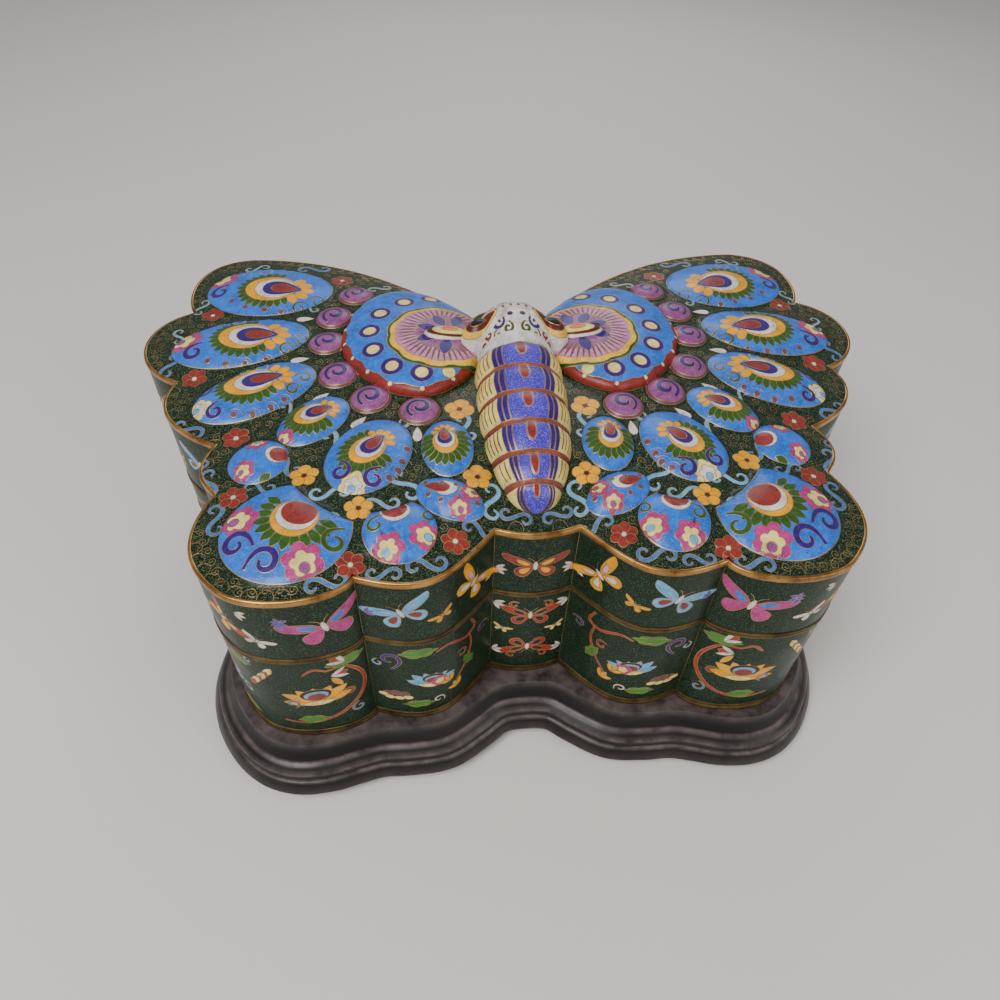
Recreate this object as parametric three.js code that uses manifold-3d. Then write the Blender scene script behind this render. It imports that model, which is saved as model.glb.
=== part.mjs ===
// A butterfly-shaped cloisonne enamel box with a lift-off domed lid, on a low moulded hardwood stand.
// Millimetres, +Z up. X runs across the wings, -Y points to the tail, which is the front of the box.
// The origin is under the middle of the object, on the surface that the stand's feet rest on.

import * as THREE from 'three';
import { mergeVertices } from 'three/addons/utils/BufferGeometryUtils.js';
import Module from 'manifold-3d';

const wasm = await Module();
wasm.setup();

// ---- Driving dimensions ----------------------------------------------------------------------

const GAP = 0.3; // clearance between pieces that touch

// Heights above the floor.
const STAND_BASE_Z = 5;
const STAND_TOP_Z = 25.5;
const BOX_FOOT_Z = STAND_TOP_Z + GAP;
const JOINT_Z = 77.4; // where the lid meets the body
const RIM_Z = 110.8; // the flat edge of the lid's top

// Sheet and strip sections.
const WALL = 1.8;
const FLOOR = 1.8;
const FOOT_RIM_HEIGHT = 3;
const FOOT_RIM_FLARE = 1;
const MOUTH_RIM_HEIGHT = 1.2;
const MOUTH_RIM_PROUD = 0.3;
const LIP_RISE = 6;
const LIP_THICKNESS = 1.2;
const EDGE_RIM_HEIGHT = 2.3;
const EDGE_RIM_PROUD = 0.5;
const EDGE_RIM_SEAT = 0.9; // how far the edge strip is let into the lid
const LID_CORNER = 4; // width of the sheet's inner corner under the rim

// Relief of the lid, above its flat edge.
const CENTRE = new THREE.Vector2(0, 5); // every ray from here crosses the outline once
const CROWN_RISE = 7.5;
const FIELD_RISE = 3;
const ROUNDEL_RISE = 2;
const FIELD_EDGE = 0.6;
const HEART_RISE = 6.2;
const HEART_FULLNESS = 0.35; // 1 is a shallow dome, less is a cushion with steeper sides
const FAN_RISE = 0.8;
const SHEET_SINK = 1.1; // how deep a raised form roots in the lid's sheet
const SLIVER = 0.08; // edges shorter than this are merged away where forms meet

// The outline from the tail to the head on one side: each row is one curve between two cusps,
// with its two handles, its end point and the number of flats it is cut into.
const TAIL_Y = -69.8;
const LOBES = [
  { handles: [[5, -69.8], [9, -68.8]], end: [14.2, -67], flats: 1 },
  { handles: [[28.5, -83.2], [34.2, -93.2]], end: [59.3, -83.9], flats: 4 },
  { handles: [[63.5, -93], [91.5, -96]], end: [101.5, -85.6], flats: 4 },
  { handles: [[112.8, -75], [115.1, -63.1]], end: [107.5, -46.5], flats: 3 },
  { handles: [[108.9, -42.8], [119.3, -37.7]], end: [111.4, -21.8], flats: 3 },
  { handles: [[117.2, -18.8], [141.9, -6.6]], end: [132.1, 15.3], flats: 4 },
  { handles: [[153.2, 24.2], [156.6, 53.3]], end: [134, 63.5], flats: 5 },
  { handles: [[139.6, 69.7], [144.3, 103.9]], end: [115.2, 107], flats: 5 },
  { handles: [[83.1, 107], [49.1, 91.5]], end: [15.5, 53.7], flats: 4 },
  { handles: [[12, 60], [5, 61.5]], end: [0, 61.5], flats: 2 },
];

// Feather-eye fields of one wing: centre, half-length, half-width and the angle they point at.
const EYES = [
  { x: 103.3, y: 75, long: 28.1, wide: 19.7, angle: 12 },
  { x: 110.1, y: 36, long: 27.5, wide: 16.1, angle: -6 },
  { x: 100.1, y: 3.8, long: 23.8, wide: 14, angle: -24 },
  { x: 76.5, y: -15, long: 14.6, wide: 10.3, angle: -42 },
  { x: 55.8, y: -35.2, long: 18.6, wide: 14.4, angle: -66 },
  { x: 28.5, y: -33.5, long: 13.2, wide: 9.2, angle: -92 },
  { x: 28.4, y: -56.2, long: 12.2, wide: 7.8, angle: 30 },
];

// Rounder fields, each bitten into by the ground around the fifth eye.
const BITTEN_EYES = [
  { x: 45, y: -68.3, long: 12, wide: 12, bite: { x: 56, y: -33, radius: 28 } },
  { x: 81, y: -66.3, long: 21.2, wide: 19.7, bite: { x: 38.8, y: -18.5, radius: 50.3 } },
  { x: 94, y: -33.5, long: 10.6, wide: 10.4, bite: { x: 56, y: -33, radius: 28 } },
];

const ROUNDELS = [[65, 66.6], [73.1, 49.2], [74.7, 31], [69.2, 9.8], [56.2, -5.6], [38, -14]];
const ROUNDEL_RADIUS = 7.7;
const EYE_FLATS = 12;
const ROUNDEL_FLATS = 8;

// The inner wing, a heart-shaped boss, and the fan that lies on it.
const HEART = [
  [16, 10], [27, -3], [38.5, -6], [49, -2.5], [57, 4.5], [64, 13.5], [68.5, 25], [68.5, 38],
  [64.5, 51], [56, 62.5], [44, 68], [31, 64.5], [20, 54], [12, 40],
];
const HEART_CENTRE = new THREE.Vector2(40, 30);
const FAN = { x: 17, y: 22.5, long: 33, wide: 20 };

// The abdomen's rings from inside the head to the tail: place, half-width and ridge height over
// the rim.
const ABDOMEN = [
  { y: 13, half: 15.6, ridge: 24.6 },
  { y: 5, half: 17, ridge: 24 },
  { y: -7.5, half: 17.2, ridge: 22.8 },
  { y: -20.5, half: 17.2, ridge: 21.3 },
  { y: -33.5, half: 16.4, ridge: 18.8 },
  { y: -45.5, half: 14.4, ridge: 15.4 },
  { y: -56, half: 10.4, ridge: 11.4 },
];
const TAIL_TIP = { y: -64, half: 5.6, ridge: 7.5 };
const TAIL_END = { y: -66.5, half: 2.6, ridge: 4 };
const SEGMENT_SWELL = 1.5; // how far a segment bulges between two rings
const RING_NECKING = 0.9; // a ring's section against its segment's

const HEAD = { x: 0, y: 22, long: 17.4, wide: 19.5, rise: 18.5 };
const FACE_EYE = { x: 14.2, y: 20, long: 7.4, wide: 6.2, rise: 13.5 };
const FEELER = { x: 26, y: 21, long: 9, wide: 3.6, rise: 1.6 };

// The stand's top edge from the front notch to the back notch on one side.
const STAND_EDGE = [
  [0, -75], [12, -76.6], [22, -83.4], [33.5, -90.2], [46, -91.6], [58, -91.6], [68, -93.6],
  [78, -96], [89, -96.3], [99, -92.8], [108, -84.6], [115.5, -71.5], [118.5, -56], [116, -38],
  [114, -20], [118, 2], [126, 24], [128, 46], [122, 70], [108, 86], [88, 89], [64, 79],
  [42, 62], [22, 49], [0, 45],
];
const STAND_FLATS = 56;
// The stand's moulding from its underside up: distance out from the top edge and height.
const STAND_MOULDING = [
  [10.4, 0], [11.2, 1.2], [8.8, 5.6], [7.4, 6.2], [7.6, 9.6], [5, 11.8], [3.2, 12.6], [1, 16],
  [0, 20.5],
];

// Four small feet under the stand's corners: where each touches the stand's lower edge, and the
// way it faces.
const FOOT_LENGTH = 14;
const FEET = [
  { name: 'front', x: 111, y: -93, angle: -48 },
  { name: 'back', x: 121.5, y: 91, angle: 42 },
];
// A foot's side outline: distance out from the stand's lower edge and height above the floor.
const FOOT_SIDE = [[-10, 4.7], [0, 4.7], [0.6, 2.8], [2, 1], [2, 0], [-5, 0], [-7, 1.6], [-10, 2.4]];

// ---- Materials -------------------------------------------------------------------------------

const enamel = () => new THREE.MeshStandardMaterial({ color: 0x1f4a34, roughness: 0.25, metalness: 0.1 });
const gilt = () => new THREE.MeshStandardMaterial({ color: 0xb98a45, roughness: 0.35, metalness: 1 });
const hardwood = () => new THREE.MeshStandardMaterial({ color: 0x2b2224, roughness: 0.4, metalness: 0 });

// ---- Outlines --------------------------------------------------------------------------------

/** A half outline and its mirror image, joined into one closed loop of points. */
function mirrored(half) {
  const other = half.slice(1, -1).reverse().map((point) => new THREE.Vector2(-point.x, point.y));
  return [...half, ...other];
}

/** The box's butterfly outline, counter-clockwise from the tail. */
function butterflyLoop() {
  let from = new THREE.Vector2(0, TAIL_Y);
  const half = [from];
  for (const { handles, end, flats } of LOBES) {
    const to = new THREE.Vector2(...end);
    const [first, second] = handles.map((handle) => new THREE.Vector2(...handle));
    half.push(...new THREE.CubicBezierCurve(from, first, second, to).getPoints(flats).slice(1));
    from = to;
  }
  return mirrored(half);
}

/** The stand's top edge, counter-clockwise from the front notch. */
function standLoop() {
  const curve = new THREE.SplineCurve(STAND_EDGE.map((point) => new THREE.Vector2(...point)));
  return mirrored(curve.getSpacedPoints(STAND_FLATS / 2));
}

/** A loop moved outward by a distance, or inward by a negative one. */
function offset(loop, distance) {
  return loop.map((point, i) => {
    const before = loop[(i + loop.length - 1) % loop.length];
    const after = loop[(i + 1) % loop.length];
    const into = point.clone().sub(before).normalize();
    const out = after.clone().sub(point).normalize();
    const normal = new THREE.Vector2(into.y + out.y, -into.x - out.x).normalize();
    const spread = Math.max(normal.x * into.y - normal.y * into.x, 0.5);
    return point.clone().addScaledVector(normal, distance / spread);
  });
}

/** A loop drawn in towards a centre by a factor. */
function drawnIn(loop, centre, factor) {
  return loop.map((point) => point.clone().sub(centre).multiplyScalar(factor).add(centre));
}

/** An ellipse pointing along an angle in degrees. */
function ellipse({ x, y, long, wide, angle = 0 }, flats) {
  const turn = THREE.MathUtils.degToRad(angle);
  return new THREE.EllipseCurve(x, y, long, wide, 0, Math.PI * 2, false, turn).getPoints(flats).slice(1);
}

/** An ellipse whose rim gives way to a round bite. */
function bittenEllipse({ bite, ...whole }, flats) {
  const centre = new THREE.Vector2(whole.x, whole.y);
  const toBite = new THREE.Vector2(bite.x, bite.y).sub(centre);
  return ellipse(whole, flats).map((point) => {
    const ray = point.clone().sub(centre).normalize();
    const along = ray.dot(toBite);
    const room = along ** 2 - toBite.lengthSq() + bite.radius ** 2;
    const cut = along > 0 && room > 0 ? along - Math.sqrt(room) : Infinity;
    return centre.clone().addScaledVector(ray, Math.min(point.distanceTo(centre), cut));
  });
}

/** A smooth closed loop through a few points. */
function smoothLoop(points, flats) {
  const knots = points.map(([x, y]) => new THREE.Vector3(x, y, 0));
  const curve = new THREE.CatmullRomCurve3(knots, true);
  return curve.getSpacedPoints(flats).slice(1).map((point) => new THREE.Vector2(point.x, point.y));
}

/** Half an ellipse, which spreads outward from the head. */
function fanLoop(flats) {
  const { x, y, long, wide } = FAN;
  return new THREE.EllipseCurve(x, y, long, wide, -Math.PI / 2, Math.PI / 2).getPoints(flats);
}

// ---- Solids ----------------------------------------------------------------------------------

/** A closed skin through rings of points. The rings run up the outside and come back inside. */
function loft(rings) {
  const flats = rings[0].length;
  const grid = new THREE.LatheGeometry(rings.map((_, j) => new THREE.Vector2(1, j)), flats);
  const position = grid.attributes.position;
  for (let k = 0; k < position.count; k += 1) {
    const ring = rings[k % rings.length];
    const point = ring[Math.floor(k / rings.length) % flats];
    position.setXYZ(k, point.x, point.y, point.z);
  }
  return grid;
}

/** A ring of points at one height, or at the height that a function gives each point. */
function ringAt(loop, height) {
  const heightOf = typeof height === 'function' ? height : () => height;
  return loop.map((point) => new THREE.Vector3(point.x, point.y, heightOf(point)));
}

/** The boolean library's solid of a closed geometry. */
function toSolid(geometry) {
  geometry.deleteAttribute('normal');
  geometry.deleteAttribute('uv');
  const merged = mergeVertices(geometry, 1e-4);
  const corners = merged.index.array;
  const kept = [];
  for (let i = 0; i < corners.length; i += 3) {
    const [a, b, c] = [corners[i], corners[i + 1], corners[i + 2]];
    if (a !== b && b !== c && c !== a) {
      kept.push(a, b, c);
    }
  }
  const vertProperties = new Float32Array(merged.attributes.position.array);
  return new wasm.Manifold(new wasm.Mesh({ numProp: 3, vertProperties, triVerts: new Uint32Array(kept) }));
}

/** The geometry of a finished solid. */
function toGeometry(solid) {
  const mesh = solid.getMesh();
  const geometry = new THREE.BufferGeometry();
  geometry.setAttribute('position', new THREE.BufferAttribute(new Float32Array(mesh.vertProperties), 3));
  geometry.setIndex(new THREE.BufferAttribute(new Uint32Array(mesh.triVerts), 1));
  geometry.computeVertexNormals();
  return geometry;
}

/** A strip bent along a loop, from its section as distances out and heights. */
function strip(loop, section) {
  const rings = [...section, section[0]].map(([out, z]) => ringAt(offset(loop, out), z));
  return loft(rings);
}

const outline = butterflyLoop();

/** How far a point lies from a centre towards the loop around it, as a share of the way. */
function reach(loop, centre, point) {
  const ray = point.clone().sub(centre);
  for (let i = 0; i < loop.length; i += 1) {
    const a = loop[i].clone().sub(centre);
    const b = loop[(i + 1) % loop.length].clone().sub(centre);
    if (a.cross(ray) >= 0 && ray.cross(b) > 0) {
      return ray.cross(b.clone().sub(a)) / a.cross(b);
    }
  }
  return 0;
}

/** Height of the lid's crown, on which all the raised forms stand. */
function crown(point) {
  return RIM_Z + CROWN_RISE * (1 - reach(outline, CENTRE, point) ** 2);
}

/** Height of a rounded form at a share of the way from its centre to its edge. */
function swell(share, rise, fullness) {
  return rise * Math.max(1 - share ** 2, 0) ** fullness;
}

const LOW_FORM = { under: SHEET_SINK, shrink: 0, fullness: 1, steps: [1, 0.65, 0] };

/**
 * A raised form with a rounded top on a ground surface. `under` is how deep it roots, `shrink`
 * takes a sheet's thickness off it, and `steps` are the shares of the way out that get a ring.
 */
function boss(loop, centre, rise, ground, options = {}) {
  const { under, shrink, fullness, steps } = { ...LOW_FORM, ...options };
  const edge = shrink ? offset(loop, -shrink) : loop;
  const root = (point) => ground(point) - under;
  const top = (share) => (point) => ground(point) + FIELD_EDGE - shrink + swell(share, rise, fullness);
  return toSolid(loft([
    ringAt(drawnIn(edge, centre, 0), root),
    ringAt(edge, root),
    ...steps.map((share) => ringAt(drawnIn(edge, centre, share), top(share))),
  ]));
}

/** Both wings' copies of a form, given as one solid on the +X wing. */
function onBothWings(solid) {
  return solid.add(solid.mirror([1, 0, 0]));
}

/** One upright section of the abdomen, an arch with a flat base rooted in the lid's sheet. */
function abdomenSection({ y, half, ridge }, { shrink, under, sides }) {
  const base = crown(new THREE.Vector2(0, y)) - under;
  const height = RIM_Z + ridge - shrink - base;
  return Array.from({ length: sides }, (_, i) => {
    const angle = (i / sides) * Math.PI * 2;
    const up = Math.max(Math.sin(angle), 0);
    return new THREE.Vector3((half - shrink) * Math.cos(angle), y, base + height * up);
  });
}

/** The abdomen's solid, from the neck to the tail. */
function abdomen() {
  const form = { shrink: 0, under: SHEET_SINK, sides: 14 };
  const sections = ABDOMEN.flatMap((ring, i) => {
    const next = ABDOMEN[i + 1] ?? TAIL_TIP;
    const middle = {
      y: (ring.y + next.y) / 2,
      half: (ring.half + next.half) / 2,
      ridge: (ring.ridge + next.ridge) / 2 + SEGMENT_SWELL,
    };
    return [{ ...ring, half: ring.half * RING_NECKING, ridge: ring.ridge - SEGMENT_SWELL }, middle];
  });
  return closedAlong([...sections, TAIL_TIP, TAIL_END], form);
}

/** The hollow under the abdomen, which opens into the head's and stops short of the tail. */
function abdomenHollow() {
  return closedAlong(ABDOMEN, { shrink: WALL + SEGMENT_SWELL, under: WALL + 2, sides: 10 });
}

/** A solid through upright sections, closed by a flat face at each end. */
function closedAlong(sections, form) {
  const rings = sections.map((section) => abdomenSection(section, form));
  const cap = (ring) => {
    const middle = new THREE.Vector3(0, ring[0].y, ring[0].z);
    return ring.map(() => middle);
  };
  return toSolid(loft([cap(rings[0]), ...rings, cap(rings.at(-1))]));
}

// ---- Pieces ----------------------------------------------------------------------------------

const box = new THREE.Group();

/** Adds one named piece. */
function piece(name, geometry, material) {
  const mesh = new THREE.Mesh(geometry, material);
  mesh.name = name;
  box.add(mesh);
}

/** The moulded platform. */
function stand() {
  const edge = standLoop();
  const middle = new THREE.Vector2(0, -20);
  const moulding = STAND_MOULDING.map(([out, up]) => ringAt(offset(edge, out), STAND_BASE_Z + up));
  const bottom = ringAt(drawnIn(edge, middle, 0), STAND_BASE_Z);
  const top = ringAt(drawnIn(edge, middle, 0), STAND_TOP_Z);
  return toGeometry(toSolid(loft([bottom, ...moulding, top])));
}

/** One of the stand's feet, a short bracket with an outward toe. */
function foot({ x, y, angle }, side) {
  const shape = new THREE.Shape(FOOT_SIDE.map((point) => new THREE.Vector2(...point)));
  const geometry = new THREE.ExtrudeGeometry(shape, { depth: FOOT_LENGTH, bevelEnabled: false, steps: 1 });
  geometry.translate(0, 0, -FOOT_LENGTH / 2);
  geometry.rotateX(Math.PI / 2);
  geometry.rotateZ(THREE.MathUtils.degToRad(side > 0 ? angle : 180 - angle));
  geometry.translate(side * x, y, 0);
  return toGeometry(toSolid(geometry));
}

/** The gilt strip round the foot of the box, which carries the body. */
function footRim() {
  const top = BOX_FOOT_Z + FOOT_RIM_HEIGHT;
  return strip(outline, [[-2.4, BOX_FOOT_Z], [FOOT_RIM_FLARE, BOX_FOOT_Z], [0.4, top], [-2.4, top]]);
}

/** The body: a tray of enamelled sheet with an upright wall. */
function body() {
  const base = BOX_FOOT_Z + FOOT_RIM_HEIGHT + GAP;
  const top = JOINT_Z - MOUTH_RIM_HEIGHT - GAP;
  const inside = offset(outline, -WALL);
  return loft([
    ringAt(drawnIn(outline, CENTRE, 0), base),
    ringAt(outline, base),
    ringAt(outline, top),
    ringAt(inside, top),
    ringAt(inside, base + FLOOR),
    ringAt(drawnIn(outline, CENTRE, 0), base + FLOOR),
  ]);
}

/** The gilt strip on the body's mouth, with the lip that the lid fits over. */
function bodyMouthRim() {
  const lipOut = -WALL - GAP;
  const lipIn = lipOut - LIP_THICKNESS;
  return strip(outline, [
    [lipIn, JOINT_Z - MOUTH_RIM_HEIGHT],
    [MOUTH_RIM_PROUD, JOINT_Z - MOUTH_RIM_HEIGHT],
    [MOUTH_RIM_PROUD, JOINT_Z],
    [lipOut, JOINT_Z],
    [lipOut, JOINT_Z + LIP_RISE],
    [lipIn, JOINT_Z + LIP_RISE],
  ]);
}

/** The gilt strip on the lid's mouth. */
function lidMouthRim() {
  const base = JOINT_Z + GAP;
  const top = base + MOUTH_RIM_HEIGHT;
  return strip(outline, [[-WALL, base], [MOUTH_RIM_PROUD, base], [MOUTH_RIM_PROUD, top], [-WALL, top]]);
}

/** The gilt strip round the edge of the lid's top. */
function lidEdgeRim() {
  const base = RIM_Z - EDGE_RIM_HEIGHT;
  const inner = -EDGE_RIM_SEAT;
  return strip(outline, [[inner, base], [EDGE_RIM_PROUD, base], [EDGE_RIM_PROUD, RIM_Z], [inner, RIM_Z]]);
}

/** The lid's plain shell: upright wall, rebate for the edge strip, and crown. */
function lidShell() {
  const base = JOINT_Z + GAP + MOUTH_RIM_HEIGHT + GAP;
  const rebate = RIM_Z - EDGE_RIM_HEIGHT - GAP;
  const seat = offset(outline, -EDGE_RIM_SEAT - GAP);
  const inside = offset(outline, -WALL);
  const corner = offset(outline, -LID_CORNER);
  const below = (point) => crown(point) - WALL;
  const outer = [0.82, 0.5, 0].map((factor) => ringAt(drawnIn(outline, CENTRE, factor), crown));
  const inner = [0, 0.5].map((factor) => ringAt(drawnIn(outline, CENTRE, factor), below));
  return toSolid(loft([
    ringAt(inside, base),
    ringAt(outline, base),
    ringAt(outline, rebate),
    ringAt(seat, rebate),
    ringAt(seat, RIM_Z),
    ...outer,
    ...inner,
    ringAt(corner, RIM_Z - WALL),
    ringAt(inside, rebate - WALL),
    ringAt(inside, base),
  ]));
}

/** The lid: the shell with every raised form of the butterfly on it, hollow under the large ones. */
function lid() {
  const heart = smoothLoop(HEART, 20);
  const heartTop = (point) => {
    return crown(point) + swell(reach(heart, HEART_CENTRE, point), HEART_RISE, HEART_FULLNESS);
  };
  const fanCentre = new THREE.Vector2(FAN.x + 8, FAN.y);
  const centreOf = ({ x, y }) => new THREE.Vector2(x, y);
  const tall = { fullness: 0.5, steps: [1, 0.9, 0.6, 0] };
  const large = { fullness: HEART_FULLNESS, steps: [1, 0.95, 0.7, 0] };
  const hollow = { under: WALL + 2, shrink: WALL };

  const forms = [
    boss(heart, HEART_CENTRE, HEART_RISE, crown, large),
    boss(fanLoop(12), fanCentre, FAN_RISE, heartTop, { under: 2 }),
    boss(ellipse(FEELER, 10), centreOf(FEELER), FEELER.rise, heartTop, { under: 2 }),
    boss(ellipse(FACE_EYE, 10), centreOf(FACE_EYE), FACE_EYE.rise, crown, tall),
    ...EYES.map((eye) => boss(ellipse(eye, EYE_FLATS), centreOf(eye), FIELD_RISE, crown)),
    ...BITTEN_EYES.map((eye) => boss(bittenEllipse(eye, EYE_FLATS), centreOf(eye), FIELD_RISE, crown)),
    ...ROUNDELS.map(([x, y]) => {
      const round = { x, y, long: ROUNDEL_RADIUS, wide: ROUNDEL_RADIUS };
      return boss(ellipse(round, ROUNDEL_FLATS), centreOf(round), ROUNDEL_RISE, crown);
    }),
  ];
  const wing = wasm.Manifold.union(forms);
  const head = boss(ellipse(HEAD, 14), centreOf(HEAD), HEAD.rise, crown, tall);
  const hollows = onBothWings(boss(smoothLoop(HEART, 12), HEART_CENTRE, HEART_RISE, crown, { ...large, ...hollow }))
    .add(abdomenHollow())
    .add(boss(ellipse(HEAD, 10), centreOf(HEAD), HEAD.rise, crown, { ...tall, ...hollow }));
  const solid = lidShell().add(onBothWings(wing)).add(head).add(abdomen()).subtract(hollows);
  return toGeometry(solid.simplify(SLIVER));
}

piece('stand', stand(), hardwood());
for (const place of FEET) {
  piece(`stand_foot_${place.name}_right`, foot(place, 1), hardwood());
  piece(`stand_foot_${place.name}_left`, foot(place, -1), hardwood());
}
piece('foot_rim', toGeometry(toSolid(footRim())), gilt());
piece('box_body', toGeometry(toSolid(body())), enamel());
piece('body_mouth_rim', toGeometry(toSolid(bodyMouthRim())), gilt());
piece('lid_mouth_rim', toGeometry(toSolid(lidMouthRim())), gilt());
piece('lid_edge_rim', toGeometry(toSolid(lidEdgeRim())), gilt());
piece('lid', lid(), enamel());

export default box;
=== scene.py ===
"""A butterfly-shaped cloisonne enamel box with a lift-off domed lid, on a moulded hardwood stand.

Lengths are in millimetres, as in the part's source, and turn into metres where a mesh is made.
The enamel is inlaid: each sheet is cut up along its cells, so that every colour lies flush with the
next, and a gilt wire stands wherever two cells meet.
"""

import math

import bmesh
import bpy
import numpy as np
from mathutils import Matrix, Vector
from mathutils.geometry import delaunay_2d_cdt


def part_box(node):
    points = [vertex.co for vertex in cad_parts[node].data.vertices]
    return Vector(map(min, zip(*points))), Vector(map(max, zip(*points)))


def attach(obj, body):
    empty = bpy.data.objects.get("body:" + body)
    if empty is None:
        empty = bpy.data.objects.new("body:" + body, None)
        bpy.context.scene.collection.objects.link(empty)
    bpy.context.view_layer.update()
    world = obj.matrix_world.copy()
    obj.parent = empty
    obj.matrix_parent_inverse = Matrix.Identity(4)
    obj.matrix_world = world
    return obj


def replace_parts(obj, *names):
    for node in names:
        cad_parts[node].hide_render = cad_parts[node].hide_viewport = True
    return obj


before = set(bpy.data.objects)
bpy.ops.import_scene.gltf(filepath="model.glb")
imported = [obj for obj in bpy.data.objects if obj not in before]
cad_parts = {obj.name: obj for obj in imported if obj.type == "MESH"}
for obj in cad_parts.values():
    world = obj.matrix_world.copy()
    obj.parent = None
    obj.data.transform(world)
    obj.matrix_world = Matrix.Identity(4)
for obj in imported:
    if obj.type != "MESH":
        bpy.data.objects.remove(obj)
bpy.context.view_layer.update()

MM = 0.001
FULL_TURN = 2 * math.pi


def low(node):
    """Lowest height of a piece of the frame."""
    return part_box(node)[0][2] / MM


def high(node):
    """Highest height of a piece of the frame."""
    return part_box(node)[1][2] / MM


# ---- Driving dimensions ----------------------------------------------------------------------

RIM_Z = high("lid_edge_rim")
LID_BASE = low("lid")
BODY_TOP = high("box_body")
BODY_BASE = low("box_body")
STAND_TOP = high("stand")
STAND_BASE = low("stand")
JOINT_GAP = 0.3
WALL = 1.8
LID_CORNER = 4  # how far in from the wall the lid's top starts inside
FLOOR_CORNER = 3.4  # how far in from the outside the body's floor ends in a round corner

CENTRE = np.array([0, 5])  # every ray from here crosses the outline once
CROWN_RISE = 7.5
FIELD_RISE = 3
ROUNDEL_RISE = 2
FIELD_EDGE = 0.6
EDGE_RUN = 1.1  # how wide the round edge of a raised field is
HEART_RISE = 6.2
HEART_FULLNESS = 0.35  # 1 is a shallow dome, less is a cushion with steeper sides
FAN_RISE = 0.8

# The outline from the tail to the head on one side: the two handles and the end of each curve.
TAIL = (0, -69.8)
LOBES = [
    ((5, -69.8), (9, -68.8), (14.2, -67)),
    ((28.5, -83.2), (34.2, -93.2), (59.3, -83.9)),
    ((63.5, -93), (91.5, -96), (101.5, -85.6)),
    ((112.8, -75), (115.1, -63.1), (107.5, -46.5)),
    ((108.9, -42.8), (119.3, -37.7), (111.4, -21.8)),
    ((117.2, -18.8), (141.9, -6.6), (132.1, 15.3)),
    ((153.2, 24.2), (156.6, 53.3), (134, 63.5)),
    ((139.6, 69.7), (144.3, 103.9), (115.2, 107)),
    ((83.1, 107), (49.1, 91.5), (15.5, 53.7)),
    ((12, 60), (5, 61.5), (0, 61.5)),
]

# Feather-eye fields of one wing: centre, half-length, half-width and the angle they point at.
EYES = {
    "a": (103.3, 75, 28.1, 19.7, 12),
    "b": (110.1, 36, 27.5, 16.1, -6),
    "c": (100.1, 3.8, 23.8, 14, -24),
    "d": (76.5, -15, 14.6, 10.3, -42),
    "e": (55.8, -35.2, 18.6, 14.4, -66),
    "f": (28.5, -33.5, 13.2, 9.2, -92),
    "g": (28.4, -56.2, 12.2, 7.8, 30),
}
# Rounder fields, each bitten into by the ground around the fifth eye: centre, half-length,
# half-width, then the bite's centre and radius.
BITTEN_EYES = {
    "h": (45, -68.3, 12, 12, 56, -33, 28),
    "i": (81, -66.3, 21.2, 19.7, 38.8, -18.5, 50.3),
    "j": (94, -33.5, 10.6, 10.4, 56, -33, 28),
}
ROUNDELS = [(65, 66.6), (73.1, 49.2), (74.7, 31), (69.2, 9.8), (56.2, -5.6), (38, -14)]
ROUNDEL_RADIUS = 7.7
HEART = [
    (16, 10), (27, -3), (38.5, -6), (49, -2.5), (57, 4.5), (64, 13.5), (68.5, 25), (68.5, 38),
    (64.5, 51), (56, 62.5), (44, 68), (31, 64.5), (20, 54), (12, 40),
]
HEART_CENTRE = np.array([40, 30])

# Centre and half-sizes in plan; the head, the compound eye and the feeler also have their rise.
FAN = (28.4, 25, 20.8, 19.6)
HEAD = (0, 22, 17.4, 19.5, 18.5)
FACE_EYE = (13.9, 20.8, 8.2, 6.6, 14)
FACE_EYE_TURN = -20  # the way its outer end looks
FEELER = (26, 23.6, 9.6, 4.3, 1.6)

# The abdomen's rings from inside the head to the tail: place, half-width, ridge over the rim.
ABDOMEN = [
    (13, 15.6, 24.6), (5, 17, 24), (-7.5, 17.2, 22.8), (-20.5, 17.2, 21.3), (-33.5, 16.4, 18.8),
    (-45.5, 14.4, 15.4), (-56, 10.4, 11.4),
]
# The rounded tail behind the last ring, in the same way.
TAIL_ROUND = [(-59, 9.2, 9.8), (-62, 7.4, 8), (-64.2, 4.8, 5.6), (-65.4, 1.2, 2.4)]

# The stand's top edge from the front notch to the back notch, and its moulding from the
# underside up: distance out from the top edge and height.
STAND_EDGE = [
    (0, -75), (12, -76.6), (22, -83.4), (33.5, -90.2), (46, -91.6), (58, -91.6), (68, -93.6),
    (78, -96), (89, -96.3), (99, -92.8), (108, -84.6), (115.5, -71.5), (118.5, -56), (116, -38),
    (114, -20), (118, 2), (126, 24), (128, 46), (122, 70), (108, 86), (88, 89), (64, 79),
    (42, 62), (22, 49), (0, 45),
]
STAND_MOULDING = [
    (10.4, 0), (11.2, 1.2), (8.8, 5.6), (7.4, 6.2), (7.6, 9.6), (5, 11.8), (3.2, 12.6), (1, 16), (0, 20.5),
]


# ---- Flat shapes -----------------------------------------------------------------------------

def bezier(start, first, second, end, count):
    """Points along a cubic curve, without its start."""
    t = np.linspace(0, 1, count + 1)[1:, None]
    start, first, second, end = map(np.array, (start, first, second, end))
    return (1 - t) ** 3 * start + 3 * (1 - t) ** 2 * t * first + 3 * (1 - t) * t * t * second + t ** 3 * end


def half_outline(step):
    """The box's outline from the tail to the head on one side."""
    parts = [np.array([TAIL], float)]
    for first, second, end in LOBES:
        start = parts[-1][-1]
        length = np.linalg.norm(np.array(end) - start) * 1.12
        parts.append(bezier(start, first, second, end, max(2, round(length / step))))
    return np.vstack(parts)


def mirrored(half):
    """A half outline and its mirror image as one closed loop."""
    return np.vstack([half, half[-2:0:-1] * (-1, 1)])


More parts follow.
